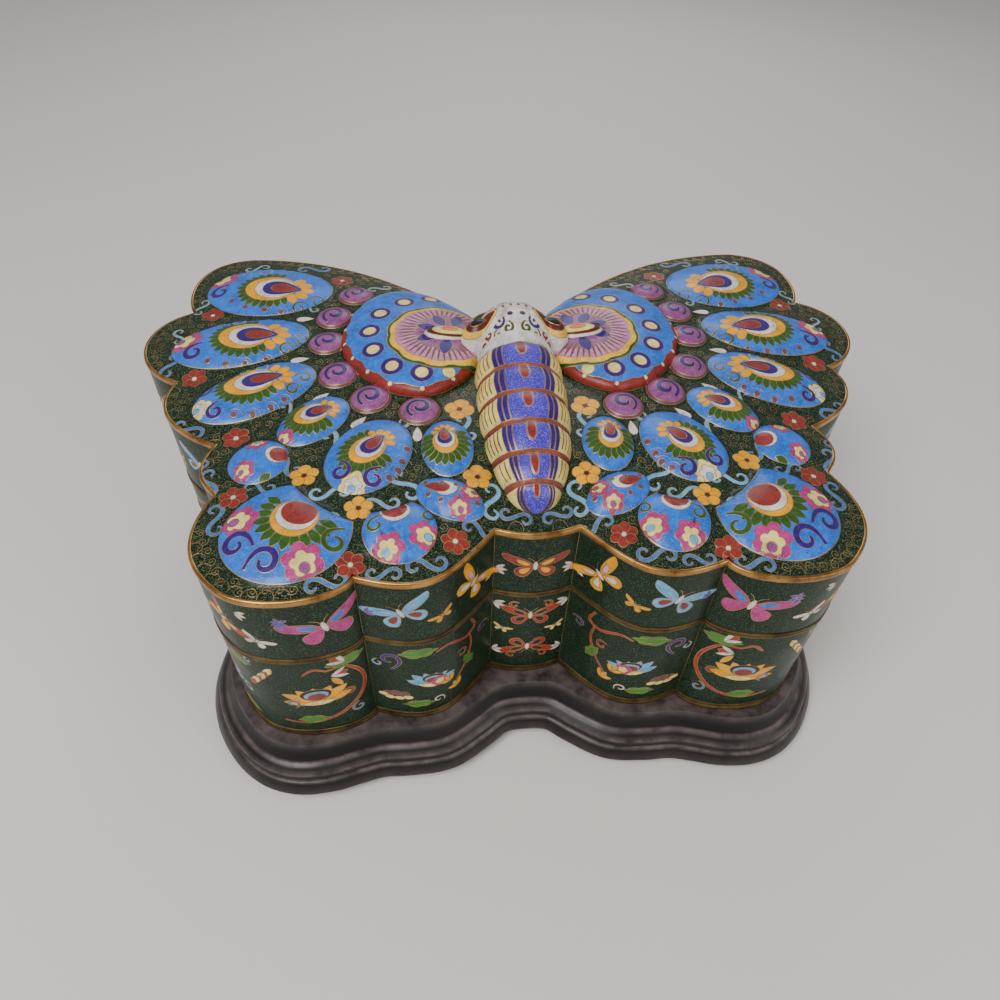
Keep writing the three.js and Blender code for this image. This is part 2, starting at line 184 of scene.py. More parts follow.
def spline(knots, step, closed=False):
    """A smooth line through a few points, with evenly spaced points along it."""
    knots = np.array(knots, float)
    count = len(knots)
    spans = count if closed else count - 1
    t = np.linspace(0, 1, 24, endpoint=False)[:, None]
    parts = []
    for i in range(spans):
        if closed:
            a, b, c, d = (knots[(i + k) % count] for k in (-1, 0, 1, 2))
        else:
            b, c = knots[i], knots[i + 1]
            a = knots[i - 1] if i else b
            d = knots[i + 2] if i + 2 < count else c
        parts.append(b + 0.5 * t * (c - a + t * (2 * a - 5 * b + 4 * c - d + t * (3 * (b - c) + d - a))))
    line = np.vstack(parts + [knots[:1] if closed else knots[-1:]])
    run = np.concatenate([[0], np.cumsum(np.linalg.norm(np.diff(line, axis=0), axis=1))])
    number = max(3, round(run[-1] / step))
    at = np.linspace(0, run[-1], number + 1)
    line = np.stack([np.interp(at, run, line[:, k]) for k in range(2)], 1)
    return line[:-1] if closed else line


def outset(loop, distance):
    """A closed loop moved outward by a distance, or inward by a negative one."""
    into = loop - np.roll(loop, 1, 0)
    out = np.roll(loop, -1, 0) - loop
    into /= np.linalg.norm(into, axis=1)[:, None]
    out /= np.linalg.norm(out, axis=1)[:, None]
    normal = np.stack([into[:, 1] + out[:, 1], -into[:, 0] - out[:, 0]], 1)
    normal /= np.linalg.norm(normal, axis=1)[:, None]
    spread = np.maximum(normal[:, 0] * into[:, 1] - normal[:, 1] * into[:, 0], 0.5)
    return loop + normal * (distance / spread)[:, None]


def turned(shape, angle, at=(0, 0)):
    """A shape turned by degrees about the origin and then moved."""
    turn = math.radians(angle)
    x, y = np.asarray(shape, float).T
    return np.stack([x * math.cos(turn) - y * math.sin(turn) + at[0],
                     x * math.sin(turn) + y * math.cos(turn) + at[1]], 1)


def ellipse(x, y, long, wide=None, angle=0, step=0.9):
    """A closed ellipse."""
    wide = long if wide is None else wide
    count = max(10, round(math.pi * (long + wide) / step))
    t = np.arange(count) / count * FULL_TURN
    return turned(np.stack([long * np.cos(t), wide * np.sin(t)], 1), angle, (x, y))


def drop(x, y, angle, length, width, step=0.9):
    """A drop whose point is at a place and which swells along an angle."""
    count = max(10, round(2.2 * (length + width) / step))
    t = np.arange(count) / count * FULL_TURN
    shape = np.stack([length / 2 * (1 - np.cos(t)), -width * 0.56 * np.sin(t) * np.sin(t / 2)], 1)
    return turned(shape, angle, (x, y))


def leaf(x, y, angle, length, width, step=0.9):
    """A leaf pointed at both ends, which starts at a place and runs along an angle."""
    count = max(3, round(length / step))
    t = np.arange(count) / count
    half = width / 2 * np.sin(math.pi * t) ** 0.8
    there = np.stack([length * t, -half], 1)
    back = np.stack([length * (1 - t), np.interp(1 - t, np.append(t, 1), np.append(half, 0))], 1)
    return turned(np.vstack([there, back]), angle, (x, y))


def spiral(x, y, radius, turns, angle, tail, hand, step):
    """An open spiral from its eye outward, with a tail that runs on in a wide arc."""
    sweep = turns * FULL_TURN
    count = max(8, round(radius * sweep * 0.55 / step))
    t = np.linspace(0, 1, count + 1)
    r = radius * (0.12 + 0.88 * t)
    line = np.stack([r * np.cos(t * sweep - sweep), hand * r * np.sin(t * sweep - sweep)], 1)
    if tail:
        t = np.linspace(0, 1, max(3, round(tail / step)))[1:]
        run = np.stack([radius - tail * 0.3 * t ** 2, hand * tail * t], 1)
        line = np.vstack([line, run])
    return turned(line, angle, (x, y))


def band(line, width, taper=0.35):
    """A closed band along an open line, which narrows towards its ends."""
    line = np.asarray(line, float)
    along = np.gradient(line, axis=0)
    along /= np.linalg.norm(along, axis=1)[:, None]
    side = np.stack([-along[:, 1], along[:, 0]], 1)
    t = np.linspace(0, 1, len(line))
    half = width / 2 * (taper + (1 - taper) * np.sin(math.pi * np.clip(t, 0.08, 0.92)))[:, None]
    return np.vstack([line - side * half, (line + side * half)[::-1]])


# ---- Forms in relief -------------------------------------------------------------------------

class Form:
    """A form in plan that every ray from its centre leaves once."""

    def __init__(self, loop, centre):
        self.loop = np.asarray(loop, float)
        self.centre = np.array(centre, float)
        ray = self.loop - self.centre
        self.turn = np.arctan2(ray[:, 1], ray[:, 0])
        self.radius = np.hypot(ray[:, 0], ray[:, 1])

    def share(self, at):
        """How far points lie from the centre towards the edge, and the edge's distance there."""
        ray = at - self.centre
        turn = np.arctan2(ray[:, 1], ray[:, 0])
        radius = np.interp(turn, self.turn, self.radius, period=FULL_TURN)
        return np.hypot(ray[:, 0], ray[:, 1]) / radius, radius

    def holds(self, at):
        """Which points lie inside."""
        return self.share(at)[0] < 1

    def rise(self, at, height, edge=FIELD_EDGE, run=EDGE_RUN, fullness=1):
        """Height of a pillow on this form, with a round edge."""
        share, radius = self.share(at)
        inward = np.clip((1 - share) * radius / run, 0, 1)
        return edge * inward * (2 - inward) + height * np.clip(1 - share ** 2, 0, 1) ** fullness

    def drawn(self, share):
        """The loop drawn in towards the centre."""
        return self.centre + (self.loop - self.centre) * share


def bitten(x, y, long, wide, bite_x, bite_y, bite_radius):
    """An ellipse whose edge gives way to a round bite."""
    loop = ellipse(x, y, long, wide, step=0.8)
    radius = np.linalg.norm(loop - (x, y), axis=1)
    ray = (loop - (x, y)) / radius[:, None]
    to_bite = np.array([bite_x - x, bite_y - y])
    along = ray @ to_bite
    room = along ** 2 - to_bite @ to_bite + bite_radius ** 2
    cut = np.where((along > 0) & (room > 0), along - np.sqrt(np.maximum(room, 0)), radius)
    return (x, y) + ray * np.minimum(radius, cut)[:, None]


HALF = half_outline(1.2)
OUTLINE = mirrored(HALF)
WINGS = Form(OUTLINE, CENTRE)
EYE_FORMS = {key: Form(ellipse(*eye), eye[:2]) for key, eye in EYES.items()}
EYE_FORMS |= {key: Form(bitten(*eye), eye[:2]) for key, eye in BITTEN_EYES.items()}
ROUNDEL_FORMS = [Form(ellipse(x, y, ROUNDEL_RADIUS), (x, y)) for x, y in ROUNDELS]
HEART_FORM = Form(spline(HEART, 1.2, closed=True), HEART_CENTRE)


def fan_loop(grow=0.0, scallop=0.9, count=64):
    """A rounded shell with a scalloped edge, which spreads outward from the head."""
    x, y, long, wide = FAN
    t = np.arange(count) / count * FULL_TURN
    wave = scallop * (np.abs(np.sin(t * 5.5)) - 0.6)
    return np.stack([x + (long + grow + wave) * np.cos(t), y + (wide + grow + wave) * np.sin(t)], 1)


FAN_FORM = Form(fan_loop(scallop=0), FAN[:2])
FEELER_FORM = Form(ellipse(*FEELER[:4], step=0.7), FEELER[:2])


def crown(at):
    """Height of the lid's crown, on which all the raised forms stand."""
    share, _ = WINGS.share(at)
    return RIM_Z + CROWN_RISE * np.clip(1 - share ** 2, 0, 1)


def lid_height(at):
    """Height of the lid's sheet on the +X side and the middle."""
    z = crown(at)
    top = np.zeros(len(at))
    for form in EYE_FORMS.values():
        top = np.maximum(top, form.rise(at, FIELD_RISE))
    for form in ROUNDEL_FORMS:
        top = np.maximum(top, form.rise(at, ROUNDEL_RISE))
    heart = HEART_FORM.rise(at, HEART_RISE, fullness=HEART_FULLNESS)
    heart = heart + FAN_FORM.rise(at, FAN_RISE, edge=0.3) * HEART_FORM.holds(at)
    heart = heart + FEELER_FORM.rise(at, FEELER[4], edge=0.5, run=0.8)
    return z + np.maximum(top, heart)


# ---- Inlay -----------------------------------------------------------------------------------

WIRE = 0.36  # width of the wires inside a field
BOLD = 0.62  # width of the wire round a field
FINE = 0.3  # width of wires that stand by themselves
HAIR = 0.26  # width of the finest curls
PROUD = 0.06  # how far a wire's crest stands over the enamel
SINK = 0.03
ROOM = 0.8  # about the nearest that a loose corner of the sheet comes to a cell's edge
NEAR = 12  # how far round a wire its neighbours are looked at
ROW_HEIGHT = 0.866  # of a grid of even triangles, for a spacing of 1


def inside(loop, at):
    """Which points a closed loop goes round."""
    around = np.zeros(len(at), int)
    for (ax, ay), (bx, by) in zip(loop, np.roll(loop, -1, 0)):
        left = (bx - ax) * (at[:, 1] - ay) - (at[:, 0] - ax) * (by - ay)
        around += (ay <= at[:, 1]) & (by > at[:, 1]) & (left > 0)
        around -= (ay > at[:, 1]) & (by <= at[:, 1]) & (left < 0)
    return around != 0


def facing(place, at, reach=0.03):
    """Outward normals of a placed sheet."""
    across = place(at + (reach, 0)) - place(at - (reach, 0))
    along = place(at + (0, reach)) - place(at - (0, reach))
    normal = np.cross(across, along)
    return normal / np.maximum(np.linalg.norm(normal, axis=1), 1e-12)[:, None]


def chained(edges):
    """Edges joined up into lines."""
    links = {}
    for a, b in edges:
        links.setdefault(a, []).append(b)
        links.setdefault(b, []).append(a)
    used = set()
    lines = []
    for start in [v for v in links if len(links[v]) != 2] + list(links):
        for first in links[start]:
            if (start, first) in used:
                continue
            line = [start, first]
            used |= {(start, first), (first, start)}
            while len(links[line[-1]]) == 2 and line[-1] != start:
                a, b = links[line[-1]]
                after = b if a == line[-2] else a
                if (line[-1], after) in used:
                    break
                used |= {(line[-1], after), (after, line[-1])}
                line.append(after)
            lines.append(line)
    return lines


class Design:
    """Cells laid one over another on a sheet, and the wires that stand between them."""

    def __init__(self, outline, place, spacing, ground):
        self.place = place
        self.spacing = spacing
        self.fields = {}
        self.cells = []
        self.lines = []
        self.folds = []
        self.corners = None  # of all the cells, gathered when a wire first looks for room
        self.cell(outline, ground)

    def cell(self, loop, colour, field=None):
        """A cell of one colour, clipped to the field that it is in."""
        loop = np.asarray(loop, float)
        turn = np.roll(loop, -1, 0)
        if (loop[:, 0] * turn[:, 1] - loop[:, 1] * turn[:, 0]).sum() < 0:
            loop = loop[::-1]
        self.cells.append((loop, colour, field))

    def field(self, name, loop, colour):
        """A field with a bold wire round it."""
        self.fields[name] = np.asarray(loop, float)
        self.cell(loop, colour, name)

    def line(self, line, width=WIRE):
        """A wire of its own on the enamel."""
        self.lines.append((np.asarray(line, float), width))

    def free(self, at, room):
        """Whether points lie on bare ground, clear of every cell's edge."""
        if self.corners is None:
            self.corners = np.vstack([loop for loop, _, _ in self.cells])
        if not inside(self.cells[0][0], at).all():
            return False
        near = self.corners[(np.abs(self.corners - at.mean(0)) < NEAR).all(1)]
        if len(near) and (np.linalg.norm(near[:, None] - at, axis=2) < room).any():
            return False
        return not any(
            inside(loop, at).any() for loop, _, _ in self.cells[1:]
            if (loop.min(0) < at.max(0)).all() and (loop.max(0) > at.min(0)).all()
        )

    def cut(self):
        """The sheet's triangles in plan, and the cell that each lies in."""
        verts, edges = [], []
        for loop, _, _ in self.cells:
            edges.extend((len(verts) + i, len(verts) + (i + 1) % len(loop)) for i in range(len(loop)))
            verts.extend(loop)
        taken = {(round(x / ROOM), round(y / ROOM)) for x, y in verts}
        outline = self.cells[0][0]
        (x0, y0), (x1, y1) = outline.min(0), outline.max(0)
        grid = []
        for i, y in enumerate(np.arange(y0, y1, self.spacing * ROW_HEIGHT)):
            x = np.arange(x0 + (i % 2) * self.spacing / 2, x1, self.spacing)
            grid.append(np.column_stack([x, np.full(len(x), y)]))
        loose = np.vstack(grid + self.folds)
        for x, y in loose[inside(outline, loose)]:
            column, row = round(x / ROOM), round(y / ROOM)
            if not any((column + i, row + j) in taken for i in (-1, 0, 1) for j in (-1, 0, 1)):
                verts.append((x, y))
        rim = list(range(len(outline)))
        cut = delaunay_2d_cdt([Vector(v) for v in verts], edges, [rim], 1, 1e-4, False)
        at = np.array([v[:] for v in cut[0]])
        tris = np.array(cut[2])
        tris = tris[inside(outline, at[tris].mean(1))]
        middle = at[tris].mean(1)
        owner = np.zeros(len(tris), int)
        for i, (loop, _, field) in enumerate(self.cells):
            near = np.flatnonzero(((middle > loop.min(0)) & (middle < loop.max(0))).all(1))
            hit = near[inside(loop, middle[near])]
            if field:
                hit = hit[inside(self.fields[field], middle[hit])]
            owner[hit] = i
        return at, tris, owner

    def borders(self, tris, owner):
        """Mesh edges between two cells, bold where a field ends."""
        sides = {}
        for t, (a, b, c) in enumerate(tris):
            for pair in ((a, b), (b, c), (c, a)):
                sides.setdefault((min(pair), max(pair)), []).append(owner[t])
        fine, bold = [], []
        for edge, owners in sides.items():
            if len(owners) == 2 and owners[0] != owners[1]:
                one, other = (self.cells[i][2] for i in owners)
                (fine if one == other else bold).append(edge)
        return fine, bold

    def ribbon(self, line, width):
        """Corners and faces of a wire along a line in plan."""
        closed = len(line) > 3 and np.allclose(line[0], line[-1])
        line = line[:-1] if closed else line
        spine = self.place(line)
        normal = facing(self.place, line)
        along = np.roll(spine, -1, 0) - np.roll(spine, 1, 0) if closed else np.gradient(spine, axis=0)
        side = np.cross(normal, along)
        side /= np.maximum(np.linalg.norm(side, axis=1), 1e-12)[:, None]
        foot = spine - normal * SINK
        verts = np.stack([foot + side * width / 2, spine + normal * PROUD, foot - side * width / 2], 1)
        count = len(line)
        faces = []
        for i in range(count if closed else count - 1):
            a, b = i * 3, (i + 1) % count * 3
            faces += [(a, a + 1, b + 1, b), (a + 1, a + 2, b + 2, b + 1)]
        return verts.reshape(-1, 3), faces

    def build(self, name, uv, shade=None):
        """The enamel and its wires as two pieces, each mirrored across X = 0."""
        at, tris, owner = self.cut()
        colours = sorted({colour for _, colour, _ in self.cells})
        slot = {colour: i for i, colour in enumerate(colours)}
        kind = np.array([slot[colour] for _, colour, _ in self.cells])
        normal = facing(self.place, at) if shade is None else None
        sheet = piece(name, self.place(at), tris, [ENAMELS[colour] for colour in colours],
                      uv(at), kind[owner], normal, True, shade)
        verts, faces, flat = [], [], []
        start = 0
        fine, bold = self.borders(tris, owner)
        lines = [(at[line], WIRE) for line in chained(fine)]
        lines += [(at[line], BOLD) for line in chained(bold)]
        for line, width in lines + self.lines:
            corners, sides = self.ribbon(line, width)
            verts.append(corners)
            faces.extend(tuple(i + start for i in side) for side in sides)
            flat.append(np.repeat(line[:len(corners) // 3], 3, 0))
            start += len(corners)
        piece(name + "_wires", np.vstack(verts), faces, [GILT], uv(np.vstack(flat)), mirror=True)
        return sheet


# ---- Meshes ----------------------------------------------------------------------------------

def piece(name, verts, faces, materials, uv, slots=None, normal=None, mirror=False, shade=None):
    """A piece of the box from corners in millimetres, mirrored across X = 0 if it is half of one.

    It is shaded by its corners' normals, or else smoothly with edges sharper than `shade` kept.
    """
    mesh = bpy.data.meshes.new(name)
    mesh.from_pydata((np.asarray(verts) * MM).tolist(), [], [tuple(map(int, f)) for f in faces])
    for material in materials:
        mesh.materials.append(material)
    if slots is not None:
        mesh.polygons.foreach_set("material_index", np.asarray(slots, np.int32))
    corner = np.zeros(len(mesh.loops), np.int32)
    mesh.loops.foreach_get("vertex_index", corner)
    mesh.uv_layers.new(name="OFBake").data.foreach_set("uv", np.asarray(uv)[corner].ravel())
    if normal is not None:
        mesh.attributes.new("facing", "FLOAT_VECTOR", "POINT").data.foreach_set("vector", normal.ravel())
    if mirror:
        shape = bmesh.new()
        shape.from_mesh(mesh)
        half = shape.verts[:] + shape.edges[:] + shape.faces[:]
        bmesh.ops.mirror(shape, geom=half, matrix=Matrix(), merge_dist=1e-6, axis="X", mirror_u=True)
        other = [face for face in shape.faces if face.calc_center_median().x < 0]
        bmesh.ops.reverse_faces(shape, faces=other)
        shape.to_mesh(mesh)
        shape.free()
    mesh.polygons.foreach_set("use_smooth", np.ones(len(mesh.polygons), bool))
    if normal is not None:
        flat = np.zeros(len(mesh.vertices) * 3)
        mesh.attributes["facing"].data.foreach_get("vector", flat)
        normal = flat.reshape(-1, 3)
        where = np.zeros(len(mesh.vertices) * 3)
        mesh.vertices.foreach_get("co", where)
        x = where[::3]
        normal[:, 0] *= np.where(np.abs(x) < 1e-6, 0, np.sign(x)) if mirror else 1
        mesh.attributes.remove(mesh.attributes["facing"])
        mesh.normals_split_custom_set_from_vertices(normal.tolist())
    elif shade is not None:
        mesh.set_sharp_from_angle(angle=shade)
    mesh.update()
    thing = bpy.data.objects.new(name, mesh)
    bpy.context.scene.collection.objects.link(thing)
    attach(thing, "root")
    return thing


def at_height(loop, height):
    """A flat loop's corners at a height."""
    return np.column_stack([loop, np.full(len(loop), height)])


def lofted(name, rings, material, closed=False, shade=0.6, caps=()):
    """A skin over closed rings of corners, joined last to first if closed.

    Each cap closes a ring, which its number names, with a fan of triangles to a centre.
    """
    count = len(rings[0])
    number = len(rings)
    verts = list(np.vstack(rings))
    faces = []
    for i in range(number if closed else number - 1):
        j = (i + 1) % number
        for a in range(count):
            b = (a + 1) % count
            faces.append((i * count + a, i * count + b, j * count + b, j * count + a))
    for ring, centre in caps:
        for a in range(count):
            b = (a + 1) % count
            first, second = (b, a) if ring == 0 else (a, b)
            faces.append((ring * count + first, ring * count + second, len(verts)))
        verts.append(centre)
    uv = [(a / count, i / number) for i in range(number) for a in range(count)]
    uv += [(0.5, 0.5)] * (len(verts) - len(uv))
    return piece(name, verts, faces, [material], uv, shade=shade)


# ---- Materials -------------------------------------------------------------------------------

def linear(*rgb):
    """A colour's linear values from its 0 to 255 ones."""
    return tuple(((c / 255 + 0.055) / 1.055) ** 2.4 if c > 10 else c / 3295 for c in rgb) + (1,)


DEPTH = 1.45  # how much deeper the glass is than its colour under a lamp


class Nodes:
    """A material with a few node helpers."""

    def __init__(self, name):
        self.material = bpy.data.materials.new(name)
        self.material.use_nodes = True
        self.tree = self.material.node_tree
        self.shader = self.tree.nodes["Principled BSDF"]
        self.where = self.add("ShaderNodeTexCoord").outputs["Object"]

    def add(self, kind, **inputs):
        """A new node; an underscore in an input's name stands for a space."""
        node = self.tree.nodes.new(kind)
        for key, value in inputs.items():
            self.put(node.inputs[key.replace("_", " ")], value)
        return node

    def put(self, socket, value):
        """A link from another node's output, or else a plain value."""
        if isinstance(value, bpy.types.NodeSocket):
            self.tree.links.new(value, socket)
        else:
            socket.default_value = value

    def noise(self, scale, detail, rough=0.55, where=None):
        """Cloudy values over the piece, in turns per metre."""
        node = self.add("ShaderNodeTexNoise", Vector=where or self.where, Scale=scale, Detail=detail,
                        Roughness=rough)
        return node.outputs["Fac"]

    def ramp(self, value, start, end, low=0.0, high=1.0):
        """A value from one range carried to another."""
        node = self.add("ShaderNodeMapRange", Value=value, From_Min=start, From_Max=end, To_Min=low,
                        To_Max=high)
        return node.outputs["Result"]

    def mix(self, share, a, b):
        """Two colours mixed."""
        node = self.tree.nodes.new("ShaderNodeMix")
        node.data_type = "RGBA"
        self.put(node.inputs["Factor"], share)
        self.put(node.inputs["A"], a)
        self.put(node.inputs["B"], b)
        return node.outputs["Result"]

    def bump(self, height, distance, strength):
        """Fine relief in the shading, its depth in metres."""
        node = self.add("ShaderNodeBump", Height=height, Distance=distance, Strength=strength)
        self.put(self.shader.inputs["Normal"], node.outputs["Normal"])

    def set(self, **values):
        """Inputs of the shader itself."""
        for key, value in values.items():
            self.put(self.shader.inputs[key.replace("_", " ")], value)


def enamel(name, colour, fleck=None, flecks=0.2, gloss=0.32):
    """Polished opaque enamel: cloudy colour, fine flecks, a few pinholes."""
    m = Nodes("enamel_" + name)
    colour = [255 * (c / 255) ** DEPTH for c in colour]
    deep = linear(*(c * 0.8 for c in colour))
    pale = linear(*(min(255, c * 1.05 + 6) for c in colour))
    body = m.mix(m.ramp(m.noise(170, 4), 0.36, 0.66), deep, linear(*colour))
    body = m.mix(m.ramp(m.noise(620, 2), 0.5, 0.72, 0, 0.65), body, pale)
    spot = m.ramp(m.noise(2300, 1), 0.62 - flecks * 0.2, 0.7, 0, 0.75)
    body = m.mix(spot, body, linear(*(fleck or [min(255, c * 1.1 + 18) for c in colour])))
    hole = m.ramp(m.noise(1500, 2, 0.4), 0.24, 0.31, 1, 0)
    body = m.mix(hole, body, linear(*(c * 0.35 for c in colour)))
    wear_and_highlight = m.noise(45, 5, 0.6)
    m.set(Base_Color=body, Roughness=m.ramp(wear_and_highlight, 0.3, 0.72, 0.26, 0.44),
          Specular_IOR_Level=gloss, Coat_Weight=gloss * 0.15, Coat_Roughness=0.1)
    height = m.ramp(m.noise(420, 3), 0.3, 0.7)
    m.bump(height, 0.00005, 0.6)
    return m.material


def gilt_metal(name, bright, dark, rough):
    """Old gilding on brass: bright where it is rubbed, brown where it has dulled."""
    m = Nodes(name)
    tone = m.ramp(m.noise(90, 5, 0.62), 0.34, 0.66)
    body = m.mix(tone, linear(*dark), linear(*bright))
    body = m.mix(m.ramp(m.noise(900, 2), 0.55, 0.75, 0, 0.5), body, linear(*(c * 0.6 for c in dark)))
    m.set(Base_Color=body, Metallic=0.9,
          Roughness=m.ramp(m.noise(260, 4), 0.3, 0.7, rough - 0.08, rough + 0.14))
    m.bump(m.noise(1300, 2), 0.00004, 0.5)
    return m.material


def hardwood():
    """Dark waxed hardwood with a fine grain along X and a pale painted highlight along the crests of its
    moulding.
    """
    m = Nodes("hardwood_dark")
    stretched = m.add("ShaderNodeMapping", Vector=m.where)
    m.put(stretched.inputs["Scale"], (0.16, 1, 1))
    grain = m.noise(520, 5, 0.65, stretched.outputs["Vector"])
    figure = m.noise(70, 4, 0.6, stretched.outputs["Vector"])
    body = m.mix(m.ramp(figure, 0.32, 0.68), linear(18, 15, 16), linear(33, 27, 27))
    body = m.mix(m.ramp(grain, 0.5, 0.7, 0, 0.75), body, linear(13, 10, 11))
    painted_crest_highlight = m.add("ShaderNodeAttribute")
    painted_crest_highlight.attribute_name = "painted_crest_highlight"
    patchy_highlight = m.add("ShaderNodeMath")
    patchy_highlight.operation = "MULTIPLY"
    m.put(patchy_highlight.inputs[0], painted_crest_highlight.outputs["Fac"])
    m.put(patchy_highlight.inputs[1], m.ramp(m.noise(140, 5, 0.65), 0.34, 0.64, 0.15, 0.85))
    # Painted highlight: pale brown laid on the moulding's crests, broken into patches by noise.
    body = m.mix(patchy_highlight.outputs[0], body, linear(112, 98, 96))
    m.set(Base_Color=body, Roughness=m.ramp(m.noise(60, 4), 0.3, 0.7, 0.3, 0.5),
          Specular_IOR_Level=0.3, Coat_Weight=0.1, Coat_Roughness=0.3)
    m.bump(grain, 0.00012, 0.5)
    return m.material


COLOURS = {
    "azure": (74, 148, 232), "purple": (88, 54, 150), "red": (172, 80, 72), "yellow": (255, 192, 0),
    "white": (236, 230, 226), "leaf": (84, 124, 60), "grass": (104, 164, 70), "mauve": (176, 114, 166),
    "rose": (204, 92, 158), "plum": (150, 104, 112), "blush": (238, 196, 206), "orchid": (222, 162, 204),
    "cream": (255, 234, 160), "straw": (255, 212, 104), "sky": (134, 200, 238), "scroll": (104, 152, 206),
    "mist": (150, 186, 204), "lilac": (170, 140, 206), "navy": (38, 36, 110), "brick": (196, 84, 58),
    "brown": (128, 62, 44), "band": (172, 112, 92), "orange": (240, 148, 74), "coal": (58, 54, 62),
}
ENAMELS = {name: enamel(name, colour) for name, colour in COLOURS.items()}
ENAMELS["ground"] = enamel("ground", (28, 62, 42), (112, 122, 88), 0.5, 0.2)
ENAMELS["wall"] = enamel("wall", (22, 58, 38), (78, 108, 74), 0.4, 0.18)
ENAMELS["violet"] = enamel("violet", (112, 88, 208), (140, 136, 236), 0.5)
LINING = enamel("turquoise", (52, 132, 150), (110, 180, 190), 0.3)
GILT = gilt_metal("gilt_wire", (196, 168, 112), (136, 108, 66), 0.4)
BRASS = gilt_metal("gilt_brass", (206, 158, 90), (128, 84, 42), 0.32)
# Painted shade: a darker copy of the gilt brass for the strips on the box's sides, which face the light less
# than the lid's top edge.
SHADED_BRASS = gilt_metal("shaded_brass", (132, 108, 66), (70, 54, 32), 0.42)
HARDWOOD = hardwood()


# ---- Stand -----------------------------------------------------------------------------------

def rounded(profile, radius, step=0.45):
    """A profile with small round corners."""
    profile = np.array(profile, float)
    smooth = [profile[0]]
    for before, corner, after in zip(profile, profile[1:], profile[2:]):
        into, out = corner - before, after - corner
        cut = min(radius, np.linalg.norm(into) * 0.45, np.linalg.norm(out) * 0.45)
        start = corner - into / np.linalg.norm(into) * cut
        end = corner + out / np.linalg.norm(out) * cut
        t = np.linspace(0, 1, max(3, round(cut * 2 / step)))[:, None]
        smooth.extend((1 - t) ** 2 * start + 2 * t * (1 - t) * corner + t * t * end)
    return np.vstack(smooth + [profile[-1:]])


def wear_and_highlight(thing, level):
    """How strongly each corner of a piece takes the painted highlight, from its place in millimetres."""
    mesh = thing.data
    painted_crest_highlight = mesh.attributes.new("painted_crest_highlight", "FLOAT", "POINT")
    where = np.zeros(len(mesh.vertices) * 3)
    mesh.vertices.foreach_get("co", where)
    painted_crest_highlight.data.foreach_set("value", level(where.reshape(-1, 3) / MM).astype(np.float32))


def make_stand():
    """The platform from its underside up the moulding to the deck, with a painted highlight along its crests.
    """
    edge = spline(mirrored(np.array(STAND_EDGE, float)), 2.2, closed=True)
    middle = np.array([0, -20])
    rings = [at_height(middle + (edge - middle) * share, STAND_BASE) for share in (0.3, 0.6, 0.9)]
    rings += [at_height(outset(edge, out), STAND_BASE + up) for out, up in rounded(STAND_MOULDING, 0.8)]
    rings += [at_height(middle + (edge - middle) * share, STAND_TOP) for share in (0.985, 0.9, 0.6, 0.3)]
    caps = [(0, (*middle, STAND_BASE)), (len(rings) - 1, (*middle, STAND_TOP))]
    stand = lofted("hardwood_stand", rings, HARDWOOD, shade=0.7, caps=caps)
    crests = np.array([0.2, 1.2, 6.0, 9.8, 12.4, 20.3])  # heights over the underside
    # Painted highlight along each crest of the moulding, strongest on the crest and gone 0.8 mm from it.
    wear_and_highlight(stand, lambda at: np.clip(1 - np.abs(at[:, 2:] - STAND_BASE - crests).min(1) / 0.8, 0, 1)
         * (np.abs(at[:, 2] - STAND_BASE) > 0.05))
    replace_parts(stand, "stand")


make_stand()

for corner in ("front_right", "front_left", "back_right", "back_left"):
    for slot in bpy.data.objects["stand_foot_" + corner].material_slots:
        slot.material = HARDWOOD


# ---- Strips and walls ------------------------------------------------------------------------

FOOT = STAND_TOP + JOINT_GAP
FOOT_TOP = high("foot_rim")
FOOT_IN = -2.4  # the foot strip's inner side, from the outline
STRIP = 1.2  # height of each mouth strip
MOUTH = high("lid_mouth_rim") - STRIP - JOINT_GAP
LID_MOUTH = MOUTH + JOINT_GAP
LIP_TOP = MOUTH + 6
LIP_IN, LIP_OUT = -3.3, -2.1


# The strips take the darker, painted-shade copy of the brass unless they are given another.
def strip(name, node, profile, material=SHADED_BRASS):
    """A gilt strip round the box, which stands for a node of the frame."""
    smooth = rounded(profile + profile[:1], 0.25, 0.3)[:-1]
    rings = [at_height(outset(OUTLINE, out), up) for out, up in smooth]
    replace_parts(lofted(name, rings, material, closed=True), node)


strip("foot_strip", "foot_rim", [
    (FOOT_IN, FOOT), (0.6, FOOT), (0.7, FOOT + 0.8), (0.25, FOOT + 1.6), (0.35, FOOT_TOP),
    (FOOT_IN, FOOT_TOP)])
strip("body_mouth_strip", "body_mouth_rim", [
    (LIP_IN, MOUTH - STRIP), (0.3, MOUTH - STRIP), (0.4, MOUTH - STRIP / 2), (0.3, MOUTH), (LIP_OUT, MOUTH),
    (LIP_OUT, LIP_TOP), (LIP_IN, LIP_TOP)])
strip("lid_mouth_strip", "lid_mouth_rim", [
    (-WALL, LID_MOUTH), (0.3, LID_MOUTH), (0.4, LID_MOUTH + STRIP / 2), (0.3, LID_MOUTH + STRIP),
    (-WALL, LID_MOUTH + STRIP)])
strip("lid_edge_strip", "lid_edge_rim", [
    (-1, RIM_Z - 2.3), (0.3, RIM_Z - 2.3), (0.45, RIM_Z - 1), (0.3, RIM_Z - 0.1), (-0.1, RIM_Z + 0.22),
    (-0.6, RIM_Z + 0.26), (-1, RIM_Z)], BRASS)

# Distance from the tail round the outline, the lobes' ends that are sharp, and their distances.
RUN = np.concatenate([[0], np.cumsum(np.linalg.norm(np.diff(HALF, axis=0), axis=1))])
CUSPS = [LOBES[i][2] for i in (0, 1, 3, 4, 5, 6, 8)]
CREASES = [0] + [RUN[np.linalg.norm(HALF - cusp, axis=1).argmin()] for cusp in CUSPS]


